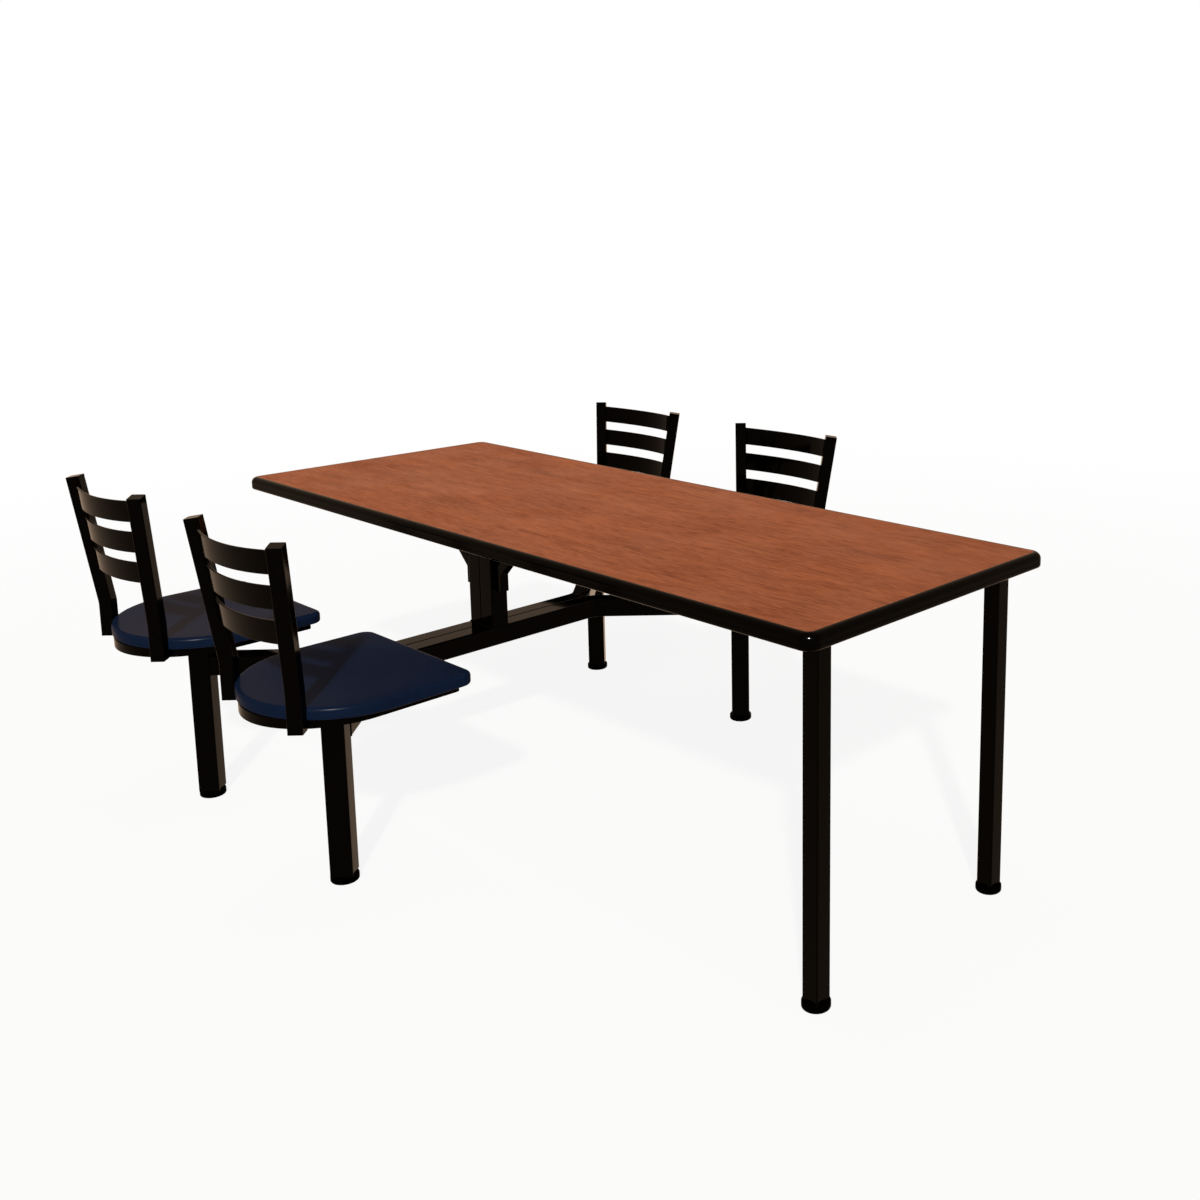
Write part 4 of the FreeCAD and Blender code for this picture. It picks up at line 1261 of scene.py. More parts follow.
@dataclass
class EndLegs(SubAssembly):
    """The two plain legs at the free end, with their plates.

    Attributes:
        x: Both legs, along the top.
        y: Either side of the middle.
        side: Square tube.
        corner: Its corner radius.
        low: Lower end of the tube.
        plate_side: Mounting plate.
        plate_corner: Its corner radius.
        plate_depth: Its thickness.
        top: Underside of the table top.
        weld_radius: Radius of the weld beads.
        weld_pitch: Distance between them.
    """

    x: float = 0.9562
    y: float = 0.2896
    side: float = 0.0381
    corner: float = 0.0028
    low: float = 0.0170
    plate_side: float = 0.0900
    plate_corner: float = 0.0080
    plate_depth: float = 0.0050
    top: float = 0.7292
    weld_radius: float = 0.0024
    weld_pitch: float = 0.0030

    def build(self) -> None:
        """Model both legs."""
        for name, place in zip(("near", "far"), self.places()):
            self.model_leg(name, *place)

    def places(self) -> list[Pair]:
        """Middle of each leg."""
        return [(self.x, -self.y), (self.x, self.y)]

    def model_leg(self, name: str, x: float, y: float) -> None:
        """Tube, plate and weld of one leg.

        Args:
            name: Which leg.
            x: Its middle, along the top.
            y: Its middle, across the top.
        """
        high = self.top - self.plate_depth
        tube = swept_bar("plain_leg_tube_" + name, (x, y, self.low),
                         (self.side, self.side), self.corner, [Straight(UP * (high - self.low))])
        tube.complete()
        self.enamel(tube, "table_leg_" + name)
        plate = rounded_slab("plain_leg_plate_" + name, (x, y, high),
                             (self.plate_side, self.plate_side), self.plate_corner,
                             self.plate_depth)
        self.enamel(plate, "table_leg_plate_" + name)
        half = self.side / 2
        corners = [(x + i * half, y + j * half, high)
                   for i, j in ((-1, -1), (1, -1), (1, 1), (-1, 1))]
        seams = list(zip(corners, corners[1:] + corners[:1]))
        self.enamel(weld("plain_leg_weld_" + name, seams, self.weld_radius, self.weld_pitch))


@dataclass
class Pedestal(SubAssembly):
    """Beams, column, braces and plate that carry the top and the four seats.

    Attributes:
        x: Middle of the pedestal, along the top.
        side: Square tube.
        corner: Its corner radius.
        level: Middle of the beams.
        bend: Radius of the beams' bends.
        bend_facets: Facets of each bend.
        spacing: Between swivel axes, along the top.
        reach: Swivel axes, either side of the middle.
        leg_low: Lower end of the seat legs.
        leg_high: Upper end of the seat legs.
        top: Underside of the table top.
        plate_length: Plate under the top.
        plate_width: Across the top.
        plate_depth: Its thickness.
        plate_corner: Its corner radius.
        brace_side: Square bar of a brace.
        brace_corner: Its corner radius.
        brace_foot: Upright part of a brace, below its bend.
        brace_rise: Leaning part of a brace, above its bend.
        weld_radius: Radius of the weld beads.
        weld_pitch: Distance between them.
        weld_gap: Between the column's middle and its welds.
        brace_weld: Weld beside a brace, above its foot and below its bend.
    """

    x: float = -0.4689
    side: float = 0.0508
    corner: float = 0.0033
    level: float = 0.3510
    bend: float = 0.0650
    bend_facets: int = 16
    spacing: float = 0.6543
    reach: float = 0.6350
    leg_low: float = 0.0170
    leg_high: float = 0.3920
    top: float = 0.7292
    plate_length: float = 0.57737
    plate_width: float = 0.1200
    plate_depth: float = 0.0050
    plate_corner: float = 0.0100
    brace_side: float = 0.0254
    brace_corner: float = 0.0014
    brace_foot: float = 0.0566
    brace_rise: float = 0.1906
    weld_radius: float = 0.0022
    weld_pitch: float = 0.0030
    weld_gap: float = 0.0030
    brace_weld: Pair = (0.0020, 0.0040)

    @property
    def section(self) -> Pair:
        """Section of its square tubes."""
        return self.side, self.side

    @property
    def high(self) -> float:
        """Underside of the plate."""
        return self.top - self.plate_depth

    def swivel(self, spot: SeatSpot) -> Pair:
        """Place of one swivel axis."""
        return self.x + spot.along * self.spacing / 2, spot.across * self.reach

    def build(self) -> None:
        """Model every part of the pedestal."""
        for name, side in (("right", 1), ("left", -1)):
            self.model_beam(name, side)
            self.model_column(name, side)
            self.model_brace(name, side)
        plate = rounded_slab("pedestal_top_plate", (self.x, 0.0, self.high),
                             (self.plate_length, self.plate_width), self.plate_corner,
                             self.plate_depth)
        self.enamel(plate, "pedestal_plate")
        for spot in SeatSpot:
            self.model_seat_leg(spot)

    def weld_seams(self, name: str, seams: list[Seam]) -> None:
        """Weld along several straight seams, as one enamelled piece."""
        self.enamel(weld(name, seams, self.weld_radius, self.weld_pitch))

    def model_beam(self, name: str, side: int) -> None:
        """One beam tube with a bend and an arm at either end.

        Args:
            name: Which of the two.
            side: Its side of the column.
        """
        half = self.side / 2
        middle_x = self.x + side * half
        across = self.spacing / 2 - half
        bend_y = self.reach - across
        tangent = self.bend * math.tan(EIGHTH_TURN / 2)
        arm = Vector((side, 1.0, 0.0)).normalized()
        start = Vector((middle_x + side * across, self.reach, self.level)) - arm * half
        bend_start = Vector((middle_x, bend_y, self.level)) + arm * tangent
        centre = Vector((middle_x + side * self.bend, bend_y - tangent, self.level))
        mirror = Vector((1.0, -1.0, 1.0))
        turn = side * EIGHTH_TURN
        path = (
            Straight(bend_start - start),
            Bend(centre, UP, turn, self.bend_facets),
            Straight(Vector((0.0, -2 * centre.y, 0.0))),
            Bend(centre * mirror, UP, turn, self.bend_facets),
            Straight((start - bend_start) * mirror),
        )
        tube = swept_bar("beam_" + name, start, self.section, self.corner, path,
                         facing(-arm, UP))
        tube.complete()
        self.enamel(tube, "beam_tube_" + name)

    def model_column(self, name: str, side: int) -> None:
        """One of the column's two tubes, with welds at its foot and head.

        Args:
            name: Which of the two.
            side: Its side of the middle.
        """
        half = self.side / 2
        low = self.level + half
        tube = swept_bar("column_" + name, (self.x + side * half, 0.0, low), self.section,
                         self.corner, [Straight(UP * (self.high - low))])
        tube.complete()
        self.enamel(tube, "column_tube_" + name)
        near_x, far_x = self.x + side * self.weld_gap, self.x + side * self.side
        seams = [((near_x, y, level), (far_x, y, level))
                 for level in (low, self.high) for y in (-half, half)]
        seams.append(((far_x, -half, self.high), (far_x, half, self.high)))
        self.weld_seams("column_weld_" + name, seams)

    def model_brace(self, name: str, side: int) -> None:
        """Bent square bar from the middle of the column's side to the plate.

        Args:
            name: Which of the two.
            side: Its side of the column.
        """
        bend = self.high - self.brace_rise
        foot = bend - self.brace_foot
        root = self.x + side * self.side
        outer = root + side * self.brace_side
        half = self.brace_side / 2
        bar = Workpiece.block("brace_bar_" + name, (min(root, outer), -half, foot),
                              (max(root, outer), half, bend))
        fall = self.brace_side * (math.sqrt(2) - 1)
        bar.pick_points(lambda c: c.z > bend - TINY and abs(c.x - outer) < TINY)
        bar.move((0.0, 0.0, -fall))
        bar.pick_faces(lambda c, n: c.z > bend - self.brace_foot / 2 and n.z > SLOPING)
        bar.extrude((side * self.brace_rise, 0.0, self.brace_rise))
        bar.pick_points(lambda c: abs(c.z - (self.high - fall)) < TINY)
        bar.move((side * fall, 0.0, fall))
        bar.pick_edges(lambda a, b: True)
        bar.round_edges(self.brace_corner, SMALL_FACETS)
        bar.complete()
        self.enamel(bar, "brace_" + name)
        above, below = self.brace_weld
        self.weld_seams("brace_weld_" + name, [
            ((root, y, foot + above), (root, y, bend - below)) for y in (-half, half)])

    def model_seat_leg(self, spot: SeatSpot) -> None:
        """Leg under one seat, turned with its arm, with a weld around the arm's end.

        Args:
            spot: Which seat.
        """
        x, y = self.swivel(spot)
        leg = swept_bar("seat_post_" + spot.prefix, (x, y, self.leg_low), self.section,
                        self.corner, [Straight(UP * (self.leg_high - self.leg_low))], DIAGONAL)
        leg.complete()
        self.enamel(leg, spot.prefix + "_seat_leg")
        half = self.side / 2
        inwards = Vector((-spot.along, -spot.across, 0.0)).normalized()
        beside = Vector((-inwards.y, inwards.x, 0.0))
        face = Vector((x, y, self.level)) + inwards * half
        corners = [face + beside * (i * half) + UP * (j * half)
                   for i, j in ((-1, -1), (1, -1), (1, 1), (-1, 1))]
        flat_share = (half - self.corner) / half
        seams = []
        for first, last in zip(corners, corners[1:] + corners[:1]):
            middle = (first + last) / 2
            seams.append((tuple(middle + (first - middle) * flat_share),
                          tuple(middle + (last - middle) * flat_share)))
        self.weld_seams("arm_weld_" + spot.prefix, seams)


@dataclass
class Glides(SubAssembly):
    """Round cups under all six legs.

    Attributes:
        plain_radius: Cups of the two plain legs.
        seat_radius: Cups of the four seat legs.
        height: Floor to the tube's lower end.
        foot: Radius of the lower round.
        foot_facets: Facets of that round.
        crown: Radius of the upper round.
        crown_facets: Facets of that round.
        lip: Flat ring inside the crown.
        sole: Flat ring inside the foot.
        facets: Facets around a cup.
        smooth: Sharpest turn in degrees that counts as round.
    """

    plain_radius: float = 0.0285
    seat_radius: float = 0.0315
    height: float = 0.0170
    foot: float = 0.0040
    foot_facets: int = 5
    crown: float = 0.0050
    crown_facets: int = 6
    lip: float = 0.0015
    sole: float = 0.0100
    facets: int = 96
    smooth: float = 40.0

    def build(self, legs: EndLegs, pedestal: Pedestal) -> None:
        """Model the cups of the plain legs and of the seat legs.

        Args:
            legs: The plain legs.
            pedestal: What the seat legs belong to.
        """
        self.model_cups("plain_leg_glide", self.plain_radius, legs.places(),
                        "table_leg_glides")
        self.model_cups("seat_post_glide", self.seat_radius,
                        [pedestal.swivel(spot) for spot in SeatSpot], "seat_leg_glides")

    def model_cups(self, name: str, radius: float, places: list[Pair], node: str) -> None:
        """Model one cup and copy it to its legs.

        Args:
            name: Start of the pieces' names.
            radius: Of the cup.
            places: Middles of the legs.
            node: CAD node that all of them stand for.
        """
        cup = Workpiece.disc(name, (0.0, 0.0, self.foot), (radius, radius), self.facets)
        cup.raise_by(self.height - self.crown - self.foot)
        cup.roll(self.crown, self.crown_facets)
        cup.inset(self.lip)
        cup.pick_faces(lambda c, n: abs(c.z - self.foot) < TINY and abs(n.z) > NEARLY_FLAT)
        cup.roll(self.foot, self.foot_facets)
        cup.inset(self.sole)
        cup.complete(self.smooth)
        for i, (x, y) in enumerate(places, 1):
            self.fit(cup.copy("%s_%d" % (name, i), step=(x, y, 0.0)), Body.FRAME, Slot.GLIDE,
                     node)
        cup.scrap()


@dataclass(frozen=True)
class SeatOutline:
    """Outline of a seat's shell or pan: straight front and sides, half-ellipse back.

    Attributes:
        half_width: At its sides.
        front: Ahead of the swivel axis.
        side_end: Where the sides turn into the round back.
        back: Half axis of the round back.
        corner: Front corner radius.
        facets: Facets of the whole ellipse.
        corner_facets: Facets of each front corner.
    """

    half_width: float
    front: float
    side_end: float
    back: float
    corner: float
    facets: int = 144
    corner_facets: int = 10

    def within(self, side_inset: float, front_inset: float, lag: float,
               corner: float) -> "SeatOutline":
        """Smaller outline inside this one.

        Args:
            side_inset: Gap between their sides.
            front_inset: Gap between their fronts.
            lag: How much further back the sides end, and how much shorter the back is.
            corner: Its front corner radius.

        Returns:
            The smaller outline.
        """
        return SeatOutline(self.half_width - side_inset, self.front - front_inset,
                           self.side_end - lag, self.back - lag, corner)

    def draw(self, name: str, level: float) -> Workpiece:
        """Draw it flat at a level.

        Args:
            name: Name of the piece.
            level: Height of the outline.

        Returns:
            The outline as one face, picked.
        """
        piece = Workpiece.disc(name, (0.0, self.side_end, level),
                               (self.half_width, self.back), self.facets)
        piece.pick_points(lambda c: c.y > self.side_end + TINY)
        bpy.ops.mesh.delete(type="VERT")
        piece.pick_points(lambda c: abs(abs(c.x) - self.half_width) < TINY)
        piece.extrude((0.0, self.front - self.side_end, 0.0))
        piece.pick_points(lambda c: True)
        bpy.ops.mesh.edge_face_add()
        piece.pick_points(lambda c: abs(c.y - self.front) < TINY)
        piece.round_points(self.corner, self.corner_facets)
        bpy.ops.mesh.select_mode(type="FACE")
        piece.pick_all()
        return piece


@dataclass
class SwivelSeat(SubAssembly):
    """One seat with its pan and ladder back, modelled once and copied to the four swivels.

    Attributes:
        pedestal: What carries the swivels.
        shell: Outline of the shell.
        low: Underside of the shell.
        depth: Thickness of the shell.
        crown: Radius of its upper rim.
        crown_facets: Facets of that rim.
        foot: Radius of its lower rim.
        foot_facets: Facets of that rim.
        rim_land: Flat ring inside the upper rim.
        sole: Flat ring inside the lower rim.
        dish_radius: Reach of the shallow dish.
        dish_depth: Its depth.
        dish_grid: Pitch of the lines that it is pressed along.
        dish_lines: Number of those lines on either side of the middle.
        shell_smooth: Sharpest turn in degrees that counts as round on the shell.
        pan_depth: Height of the pan's skirt.
        pan_sheet: Thickness of its sheet.
        pan_side_inset: Its sides, inside the shell's.
        pan_front_inset: Its front, behind the shell's.
        pan_side_lag: Its sides' ends, behind the shell's.
        pan_corner: Its front corner radius.
        pan_round: Radius of its upper edge.
        pan_smooth: Sharpest turn in degrees that counts as round on the pan.
        lug_length: Lug between the skirt and an upright.
        lug_width: Its width.
        lug_inset: Its top, below the shell.
        lug_lap: Its length inside the skirt.
        upright_side: Square tube.
        upright_corner: Its corner radius.
        upright_wall: Its wall.
        upright_crown: Bevel of its closed top.
        upright_x: Foot of an upright, beside the middle.
        upright_y: Foot of an upright, behind the swivel axis.
        upright_low: Its lower end.
        upright_foot: Its straight part below the bend.
        upright_rise: Height of its leaning part.
        upright_spread: How far it leans, along each axis.
        upright_bend: Radius of its bend.
        upright_bend_facets: Facets of that bend.
        upright_bore: Depth of the open lower end.
        notch_gap: Between an upright and the shell.
        slat_height: Flat bar of a slat.
        slat_depth: Its thickness.
        slat_corner: Corner radius of its section.
        slat_gap: Between two slats.
        slat_radius: Curve of a slat.
        slat_facets: Facets of that curve.
        slat_margin: Above the upper slat.
        parts: Finished parts and their slots, by the end of their nodes' names.
    """

    pedestal: Pedestal
    shell: SeatOutline = SeatOutline(half_width=0.2220, front=0.2178, side_end=0.0223,
                                     back=0.2164, corner=0.0315)
    low: float = 0.4545
    depth: float = 0.0274
    crown: float = 0.0090
    crown_facets: int = 10
    foot: float = 0.0060
    foot_facets: int = 6
    rim_land: float = 0.0020
    sole: float = 0.0100
    dish_radius: float = 0.1850
    dish_depth: float = 0.0025
    dish_grid: float = 0.0200
    dish_lines: int = 10
    shell_smooth: float = 30.0
    pan_depth: float = 0.0224
    pan_sheet: float = 0.0030
    pan_side_inset: float = 0.0389
    pan_front_inset: float = 0.0140
    pan_side_lag: float = 0.0200
    pan_corner: float = 0.0120
    pan_round: float = 0.0015
    pan_smooth: float = 40.0
    lug_length: float = 0.0102
    lug_width: float = 0.0254
    lug_inset: float = 0.0030
    lug_lap: float = 0.0010
    upright_side: float = 0.03175
    upright_corner: float = 0.0024
    upright_wall: float = 0.0018
    upright_crown: float = 0.0006
    upright_x: float = 0.1446
    upright_y: float = -0.1584
    upright_low: float = 0.4354
    upright_foot: float = 0.0863
    upright_rise: float = 0.3171
    upright_spread: float = 0.0362
    upright_bend: float = 0.0900
    upright_bend_facets: int = 8
    upright_bore: float = 0.0450
    notch_gap: float = 0.0005
    slat_height: float = 0.0508
    slat_depth: float = 0.0048
    slat_corner: float = 0.0011
    slat_gap: float = 0.0254
    slat_radius: float = 0.4230
    slat_facets: int = 40
    slat_margin: float = 0.0120
    parts: dict[str, tuple[Workpiece, Slot]] = field(default_factory=dict)

    def build(self) -> None:
        """Model the parts in the seat's own frame, then copy them to every swivel."""
        uprights = {name: self.model_upright(name, side)
                    for name, side in (("left", -1), ("right", 1))}
        self.model_shell()
        self.model_pan()
        self.model_slats(*uprights.values())
        for name, upright in uprights.items():
            self.open_foot(upright)
            self.parts["upright_" + name] = (upright, Slot.ENAMEL)
        for spot in SeatSpot:
            self.place(spot)
        for part, _ in self.parts.values():
            part.scrap()

    def place(self, spot: SeatSpot) -> None:
        """Copy the parts to one swivel and finish what stays of its CAD nodes.

        Args:
            spot: Which seat.
        """
        step = (*self.pedestal.swivel(spot), 0.0)
        turn = 0.0 if spot.across < 0 else math.pi
        for name, (part, slot) in self.parts.items():
            node = "%s_%s" % (spot.prefix, name)
            self.fit(part.copy(node + "_piece", turn, step), spot.body, slot, node)
        self.shop.paint_node(spot.prefix + "_swivel_base", Slot.SWIVEL)
        self.shop.paint_node(spot.prefix + "_swivel_hub", Slot.SWIVEL)

    def model_shell(self) -> None:
        """Moulded seat: rolled rims, a shallow dish and a notch for each upright."""
        shell = self.shell.draw("seat_moulding", self.low + self.foot)
        shell.raise_by(self.depth - self.foot - self.crown)
        shell.roll(self.crown, self.crown_facets)
        shell.inset(self.rim_land)
        self.press_dish(shell)
        shell.pick_faces(lambda c, n: n.z < -NEARLY_FLAT and c.z < self.low + self.foot + TINY)
        shell.roll(self.foot, self.foot_facets)
        shell.inset(self.sole)
        shell.close()
        cutters = [self.notch_cutter(side) for side in (-1, 1)]
        shell.cut_with(*cutters)
        for cutter in cutters:
            cutter.scrap()
        shell.shade(self.shell_smooth)
        self.parts["seat_shell"] = (shell, Slot.SEAT)

    def press_dish(self, shell: Workpiece) -> None:
        """Lay a grid over the shell's top and press its middle down.

        Args:
            shell: The shell, in edit mode.
        """
        top = self.low + self.depth
        for i in range(-self.dish_lines, self.dish_lines + 1):
            for axis in (Vector((1.0, 0.0, 0.0)), Vector((0.0, 1.0, 0.0))):
                shell.pick_faces(lambda c, n: n.z > FLAT and c.z > top - TINY)
                shell.bisect(axis * (i * self.dish_grid) + UP * top, axis)
        shell.pick_points(lambda c: c.z > top - TINY and c.xy.length < TINY)
        bpy.ops.transform.translate(
            value=(0.0, 0.0, -self.dish_depth), use_proportional_edit=True,
            proportional_edit_falloff="INVERSE_SQUARE", proportional_size=self.dish_radius)

    def notch_cutter(self, side: int) -> Workpiece:
        """Block that clears the shell around one upright.

        Args:
            side: Which upright.

        Returns:
            The block, in object mode.
        """
        size = self.upright_side + 2 * self.notch_gap
        centre = (side * self.upright_x, self.upright_y, self.low - self.depth)
        block = Workpiece.plane("notch", centre, (size, size), DIAGONAL)
        block.raise_by(3 * self.depth)
        block.close()
        return block

    def model_pan(self) -> None:
        """Pressed pan with a skirt, open below, and a lug to each upright."""
        low = self.low - self.pan_depth
        outline = self.shell.within(self.pan_side_inset, self.pan_front_inset,
                                    self.pan_side_lag, self.pan_corner)
        pan = outline.draw("seat_pan", self.low)
        pan.raise_by(-self.pan_depth)
        pan.pick_faces(lambda c, n: abs(c.z - low) < TINY)
        pan.inset(self.pan_sheet)
        pan.raise_by(self.pan_depth - self.pan_sheet)
        pan.pick_edges(lambda a, b: abs(a.z - b.z) < TINY and abs(a.z - self.low) < TINY)
        pan.round_edges(self.pan_round, SMALL_FACETS)
        pan.complete(self.pan_smooth)
        pan.join(*[self.model_lug(side) for side in (-1, 1)])
        self.parts["seat_pan"] = (pan, Slot.ENAMEL)

    def model_lug(self, side: int) -> Workpiece:
        """Flat lug from the pan's skirt to an upright's inner face.

        Args:
            side: Which upright.

        Returns:
            The lug, in object mode.
        """
        outwards = Vector((side, -1.0, 0.0)).normalized()
        end = (Vector((side * self.upright_x, self.upright_y, 0.0))
               - outwards * (self.upright_side / 2))
        start = end - outwards * (self.lug_length + self.lug_lap)
        depth = self.low - self.lug_inset - self.upright_low
        middle = Vector((start.x, start.y, self.upright_low + depth / 2))
        lug = Workpiece.plane("lug", middle, (depth, self.lug_width), facing(outwards, UP))
        lug.extrude(end - start)
        lug.close()
        return lug

    def model_upright(self, name: str, side: int) -> Workpiece:
        """Bent square tube, a corner of its section pointing sideways.

        Args:
            name: Which of the two.
            side: Its side of the seat.

        Returns:
            The tube with both ends closed, in object mode.
        """
        lean = math.atan(self.upright_spread / self.upright_rise * math.sqrt(2))
        tangent = self.upright_bend * math.tan(lean / 2)
        outwards = Vector((side, -1.0, 0.0)).normalized()
        base = Vector((side * self.upright_x, self.upright_y, self.upright_low))
        bend_start = base + UP * (self.upright_foot - tangent)
        along = UP * math.cos(lean) + outwards * math.sin(lean)
        upper = self.upright_rise / math.cos(lean) - tangent - self.upright_crown
        path = (
            Straight(bend_start - base),
            Bend(bend_start + outwards * self.upright_bend, UP.cross(outwards), lean,
                 self.upright_bend_facets),
            Straight(along * upper),
        )
        tube = swept_bar("upright_" + name, base, (self.upright_side, self.upright_side),
                         self.upright_corner, path, facing(UP, outwards))
        tube.inset(self.upright_crown, self.upright_crown)
        tube.complete()
        return tube

    def open_foot(self, upright: Workpiece) -> None:
        """Hollow the lower end of an upright.

        Args:
            upright: The closed tube.
        """
        upright.edit()
        upright.pick_faces(lambda c, n: n.z < -FLAT and abs(c.z - self.upright_low) < TINY)
        upright.inset(self.upright_wall)
        upright.raise_by(self.upright_bore)
        upright.complete()

    def model_slats(self, *uprights: Workpiece) -> None:
        """Three rolled flat bars, cut to fit against both uprights.

        Args:
            *uprights: Tubes that they end at.
        """
        rake = math.atan(self.upright_spread / self.upright_rise)
        length = self.upright_rise / math.cos(rake)
        station = length - self.slat_margin - self.slat_height / 2
        for name in ("slat_upper", "slat_middle", "slat_lower"):
            slat = self.model_slat(name, station, rake)
            slat.cut_with(*uprights)
            slat.shade()
            self.parts[name] = (slat, Slot.ENAMEL)
            station -= self.slat_height + self.slat_gap

    def model_slat(self, name: str, station: float, rake: float) -> Workpiece:
        """One slat, at a station along the leaning back.

        Args:
            name: Which of the three.
            station: Its middle, from the uprights' bend.
            rake: Lean of the back.

        Returns:
            The slat, in object mode.
        """
        half_gap = self.upright_x + station * math.sin(rake)
        half = math.asin(half_gap / self.slat_radius)
        radius = self.slat_radius - self.slat_depth / 2
        leaning = Vector((0.0, -math.sin(rake), math.cos(rake)))
        forwards = Vector((0.0, math.cos(rake), math.sin(rake)))
        bend_level = self.upright_low + self.upright_foot
        origin = Vector((0.0, self.upright_y, bend_level)) + leaning * station
        centre = origin + forwards * self.slat_radius * math.cos(half)
        spoke = -forwards * math.cos(half) + Vector((-1.0, 0.0, 0.0)) * math.sin(half)
        slat = swept_bar(name, centre + spoke * radius, (self.slat_height, self.slat_depth),
                         self.slat_corner, [Bend(centre, leaning, 2 * half, self.slat_facets)],
                         facing(leaning.cross(spoke), leaning), SMALL_FACETS)
        slat.close()
        return slat


# ---------------------------------------------------------------------------
# studio


@dataclass(frozen=True)
class Sun:
    """Distant lamp beside the camera.

    Attributes:
        name: Name of the lamp.
        power: Its strength.
        spread: Its apparent size, in degrees.
    """

    name: str
    power: float
    spread: float


@dataclass(frozen=True)
class SoftBox:
    """Square lamp over the table.

    Attributes:
        name: Name of the lamp.
        place: Its middle.
        size: Its side.
        power: Its strength.
    """

    name: str
    place: Triple
    size: float
    power: float


@dataclass
class Studio:
    """Pale floor, soft lamps, room light and the camera.

    Attributes:
        eye: Place of the camera.
        heading: Where it looks, in degrees from X.
        dip: How far it looks down, in degrees.
        roll: How far it leans, in degrees.
        sensor: Width of its sensor, in millimetres.
        lens: Focal length for that sensor.
        shift: Shift of the lens.
        far: How far the camera sees.
        floor_side: Side of the floor.
        floor_drop: Gap between the floor and the glides.
        paper: Darkest and lightest tone of the floor.
        fade: Where the floor starts and ends to fade into the background.
        veil: Share of the background in the floor near the table.
        ambient: Room light on the table.
        mirrored: Room as the table's shine mirrors it.
        warmth: Colour of every lamp.
        sun_heading: Where the suns stand, in degrees from X.
        sun_rise: Their height, in degrees.
        key: Sun that lights everything.
        glint: Sun that lights nothing but the shine of the rims.
        rims: Ends of the names of the pieces with such rims.
        boxes: Lamps over the table.
        aim: Where those lamps point.
    """

    eye: Triple = (2.4271, -1.9881, 1.4762)
    heading: float = 131.99
    dip: float = 9.86
    roll: float = 0.05
    sensor: float = 36.0
    lens: float = 39.296
    shift: Pair = (-0.16043, -0.13507)
    far: float = 200.0
    floor_side: float = 80.0
    floor_drop: float = 0.0005
    paper: tuple[Triple, Triple] = ((0.86, 0.86, 0.86), (0.89, 0.89, 0.89))
    fade: Pair = (1.2, 6.0)
    veil: float = 0.90
    ambient: Triple = (0.100, 0.080, 0.060)
    mirrored: Triple = (1.00, 0.71, 0.50)
    warmth: Triple = (1.0, 0.96, 0.92)
    sun_heading: float = -45.5
    sun_rise: float = 35.0
    key: Sun = Sun("key", power=3.10, spread=2.6)
    glint: Sun = Sun("glint", power=40.0, spread=5.0)
    rims: tuple[str, ...] = ("seat_shell_piece", "edge_band_round")
    boxes: tuple[SoftBox, ...] = (
        SoftBox("overhead", place=(0.2, 0.0, 4.0), size=1.8, power=20.0),
        SoftBox("side", place=(-0.8, -0.55, 3.4), size=0.30, power=9.0),
    )
    aim: Triple = (-0.1, -0.2, 0.6)

    def build(self) -> None:
        """Set up everything around the table."""
        self.lay_floor()
        self.light_room()
        self.hang_sun(self.key)
        glint = self.hang_sun(self.glint)
        glint.visible_diffuse = False
        glint.light_linking.receiver_collection = self.gather_rims()
        for box in self.boxes:
            self.hang_box(box)
        self.set_camera()
        bpy.context.scene.view_settings.view_transform = "Standard"

    def lay_floor(self) -> None:
        """Wide pale floor that keeps the table's shadow and fades into the background."""
        floor = Workpiece.plane("floor", (0.0, 0.0, -self.floor_drop),
                                (self.floor_side, self.floor_side))
        bpy.ops.object.mode_set(mode="OBJECT")
        f = Finish("floor_paper")
        tone = f.colours(f.noise(Grain(2.0)), tuple(zip((0.3, 0.7), self.paper)))
        f.dress(Base_Color=tone, Roughness=0.9, Specular_IOR_Level=0.0)
        paper = f.shader.outputs["BSDF"]
        distance = f.add("ShaderNodeVectorMath", operation="LENGTH")
        f.feed(distance.inputs[0], f.place)
        fade = f.spread(distance.outputs["Value"], *self.fade, self.veil, 1.0)
        seen = f.mix_shaders(fade, paper, f.glow(WHITE))
        clear = f.add("ShaderNodeBsdfTransparent").outputs["BSDF"]
        ray = f.add("ShaderNodeLightPath").outputs
        unseen = f.mix_shaders(ray["Is Glossy Ray"], paper, clear)
        f.finish(f.mix_shaders(ray["Is Camera Ray"], unseen, seen))
        floor.obj.data.materials.append(f.material)

    def light_room(self) -> None:
        """Room light: soft on the table, warm in its shine, and white to the eye."""
        world = bpy.data.worlds.new("room")
        bpy.context.scene.world = world
        world.use_nodes = True
        f = Finish.for_world(world)
        ray = f.add("ShaderNodeLightPath").outputs
        tone = f.blend(ray["Is Glossy Ray"], self.ambient, self.mirrored)
        room = f.glow(tone, "ShaderNodeBackground")
        paper = f.glow(WHITE, "ShaderNodeBackground")
        seen = f.work("MAXIMUM", ray["Is Camera Ray"], ray["Is Transmission Ray"])
        f.finish(f.mix_shaders(seen, room, paper), "ShaderNodeOutputWorld")

    def hang(self, name: str, kind: str, power: float) -> bpy.types.Object:
        """Hang one lamp of a kind.

        Args:
            name: Name of the lamp.
            kind: Blender's type of lamp.
            power: Its strength.

        Returns:
            The lamp, at the origin.
        """
        light = bpy.data.lights.new(name, kind)
        light.energy = power
        light.color = self.warmth
        lamp = bpy.data.objects.new(name, light)
        bpy.context.scene.collection.objects.link(lamp)
        return lamp

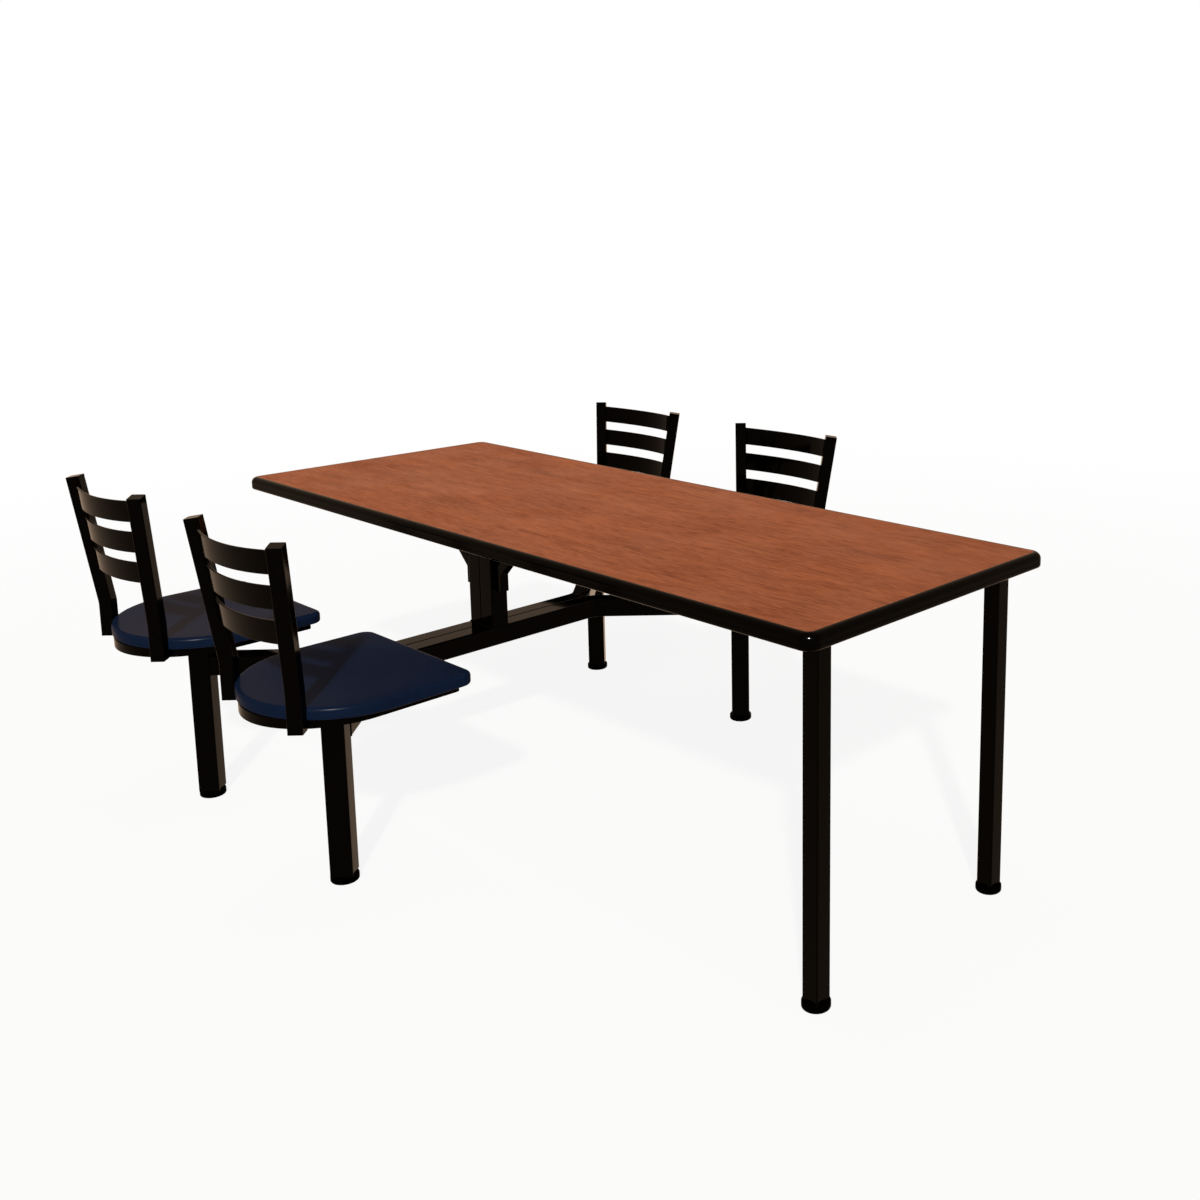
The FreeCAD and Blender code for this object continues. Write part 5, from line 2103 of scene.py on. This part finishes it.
    def hang_sun(self, sun: Sun) -> bpy.types.Object:
        """Hang a distant lamp beside the camera.

        Args:
            sun: Its name, strength and spread.

        Returns:
            The lamp.
        """
        lamp = self.hang(sun.name, "SUN", sun.power)
        lamp.data.angle = math.radians(sun.spread)
        lamp.rotation_euler = (math.radians(90.0 - self.sun_rise), 0.0,
                               math.radians(self.sun_heading + 90.0))
        return lamp

    def hang_box(self, box: SoftBox) -> None:
        """Hang one square lamp that points at the table and leaves no mirror image.

        Args:
            box: Its name, place, size and strength.
        """
        lamp = self.hang(box.name, "AREA", box.power)
        lamp.data.shape = "SQUARE"
        lamp.data.size = box.size
        lamp.location = box.place
        aim = Vector(self.aim) - Vector(box.place)
        lamp.rotation_euler = aim.to_track_quat("-Z", "Y").to_euler()
        lamp.visible_glossy = False

    def gather_rims(self) -> bpy.types.Collection:
        """Collection of the moulded rims: the seats and the edge band.

        Returns:
            The collection, outside the scene.
        """
        glossy = bpy.data.collections.new("glossy_rims")
        for obj in bpy.data.objects:
            if obj.name.endswith(self.rims):
                glossy.objects.link(obj)
        return glossy

    def set_camera(self) -> None:
        """Camera at the eye, level apart from its dip and roll."""
        data = bpy.data.cameras.new("view")
        data.sensor_width = self.sensor
        data.lens = self.lens
        data.shift_x, data.shift_y = self.shift
        data.clip_end = self.far
        camera = bpy.data.objects.new("view", data)
        bpy.context.scene.collection.objects.link(camera)
        camera.location = self.eye
        camera.rotation_euler = (math.radians(90.0 - self.dip), math.radians(self.roll),
                                 math.radians(self.heading - 90.0))
        bpy.context.scene.camera = camera


def main() -> None:
    """Build and dress every sub-assembly, then set up the studio."""
    logging.basicConfig(level=logging.INFO, format="%(message)s")
    shop = Paintshop()
    TableTop(shop).build()
    legs = EndLegs(shop)
    legs.build()
    pedestal = Pedestal(shop)
    pedestal.build()
    Glides(shop).build(legs, pedestal)
    SwivelSeat(shop, pedestal).build()
    shop.paint_node("swivel_thrust_washers", Slot.WASHER)
    shop.paint_node("swivel_nuts", Slot.SCREW)
    Studio().build()
    bpy.context.view_layer.update()


if __name__ == "__main__":
    main()
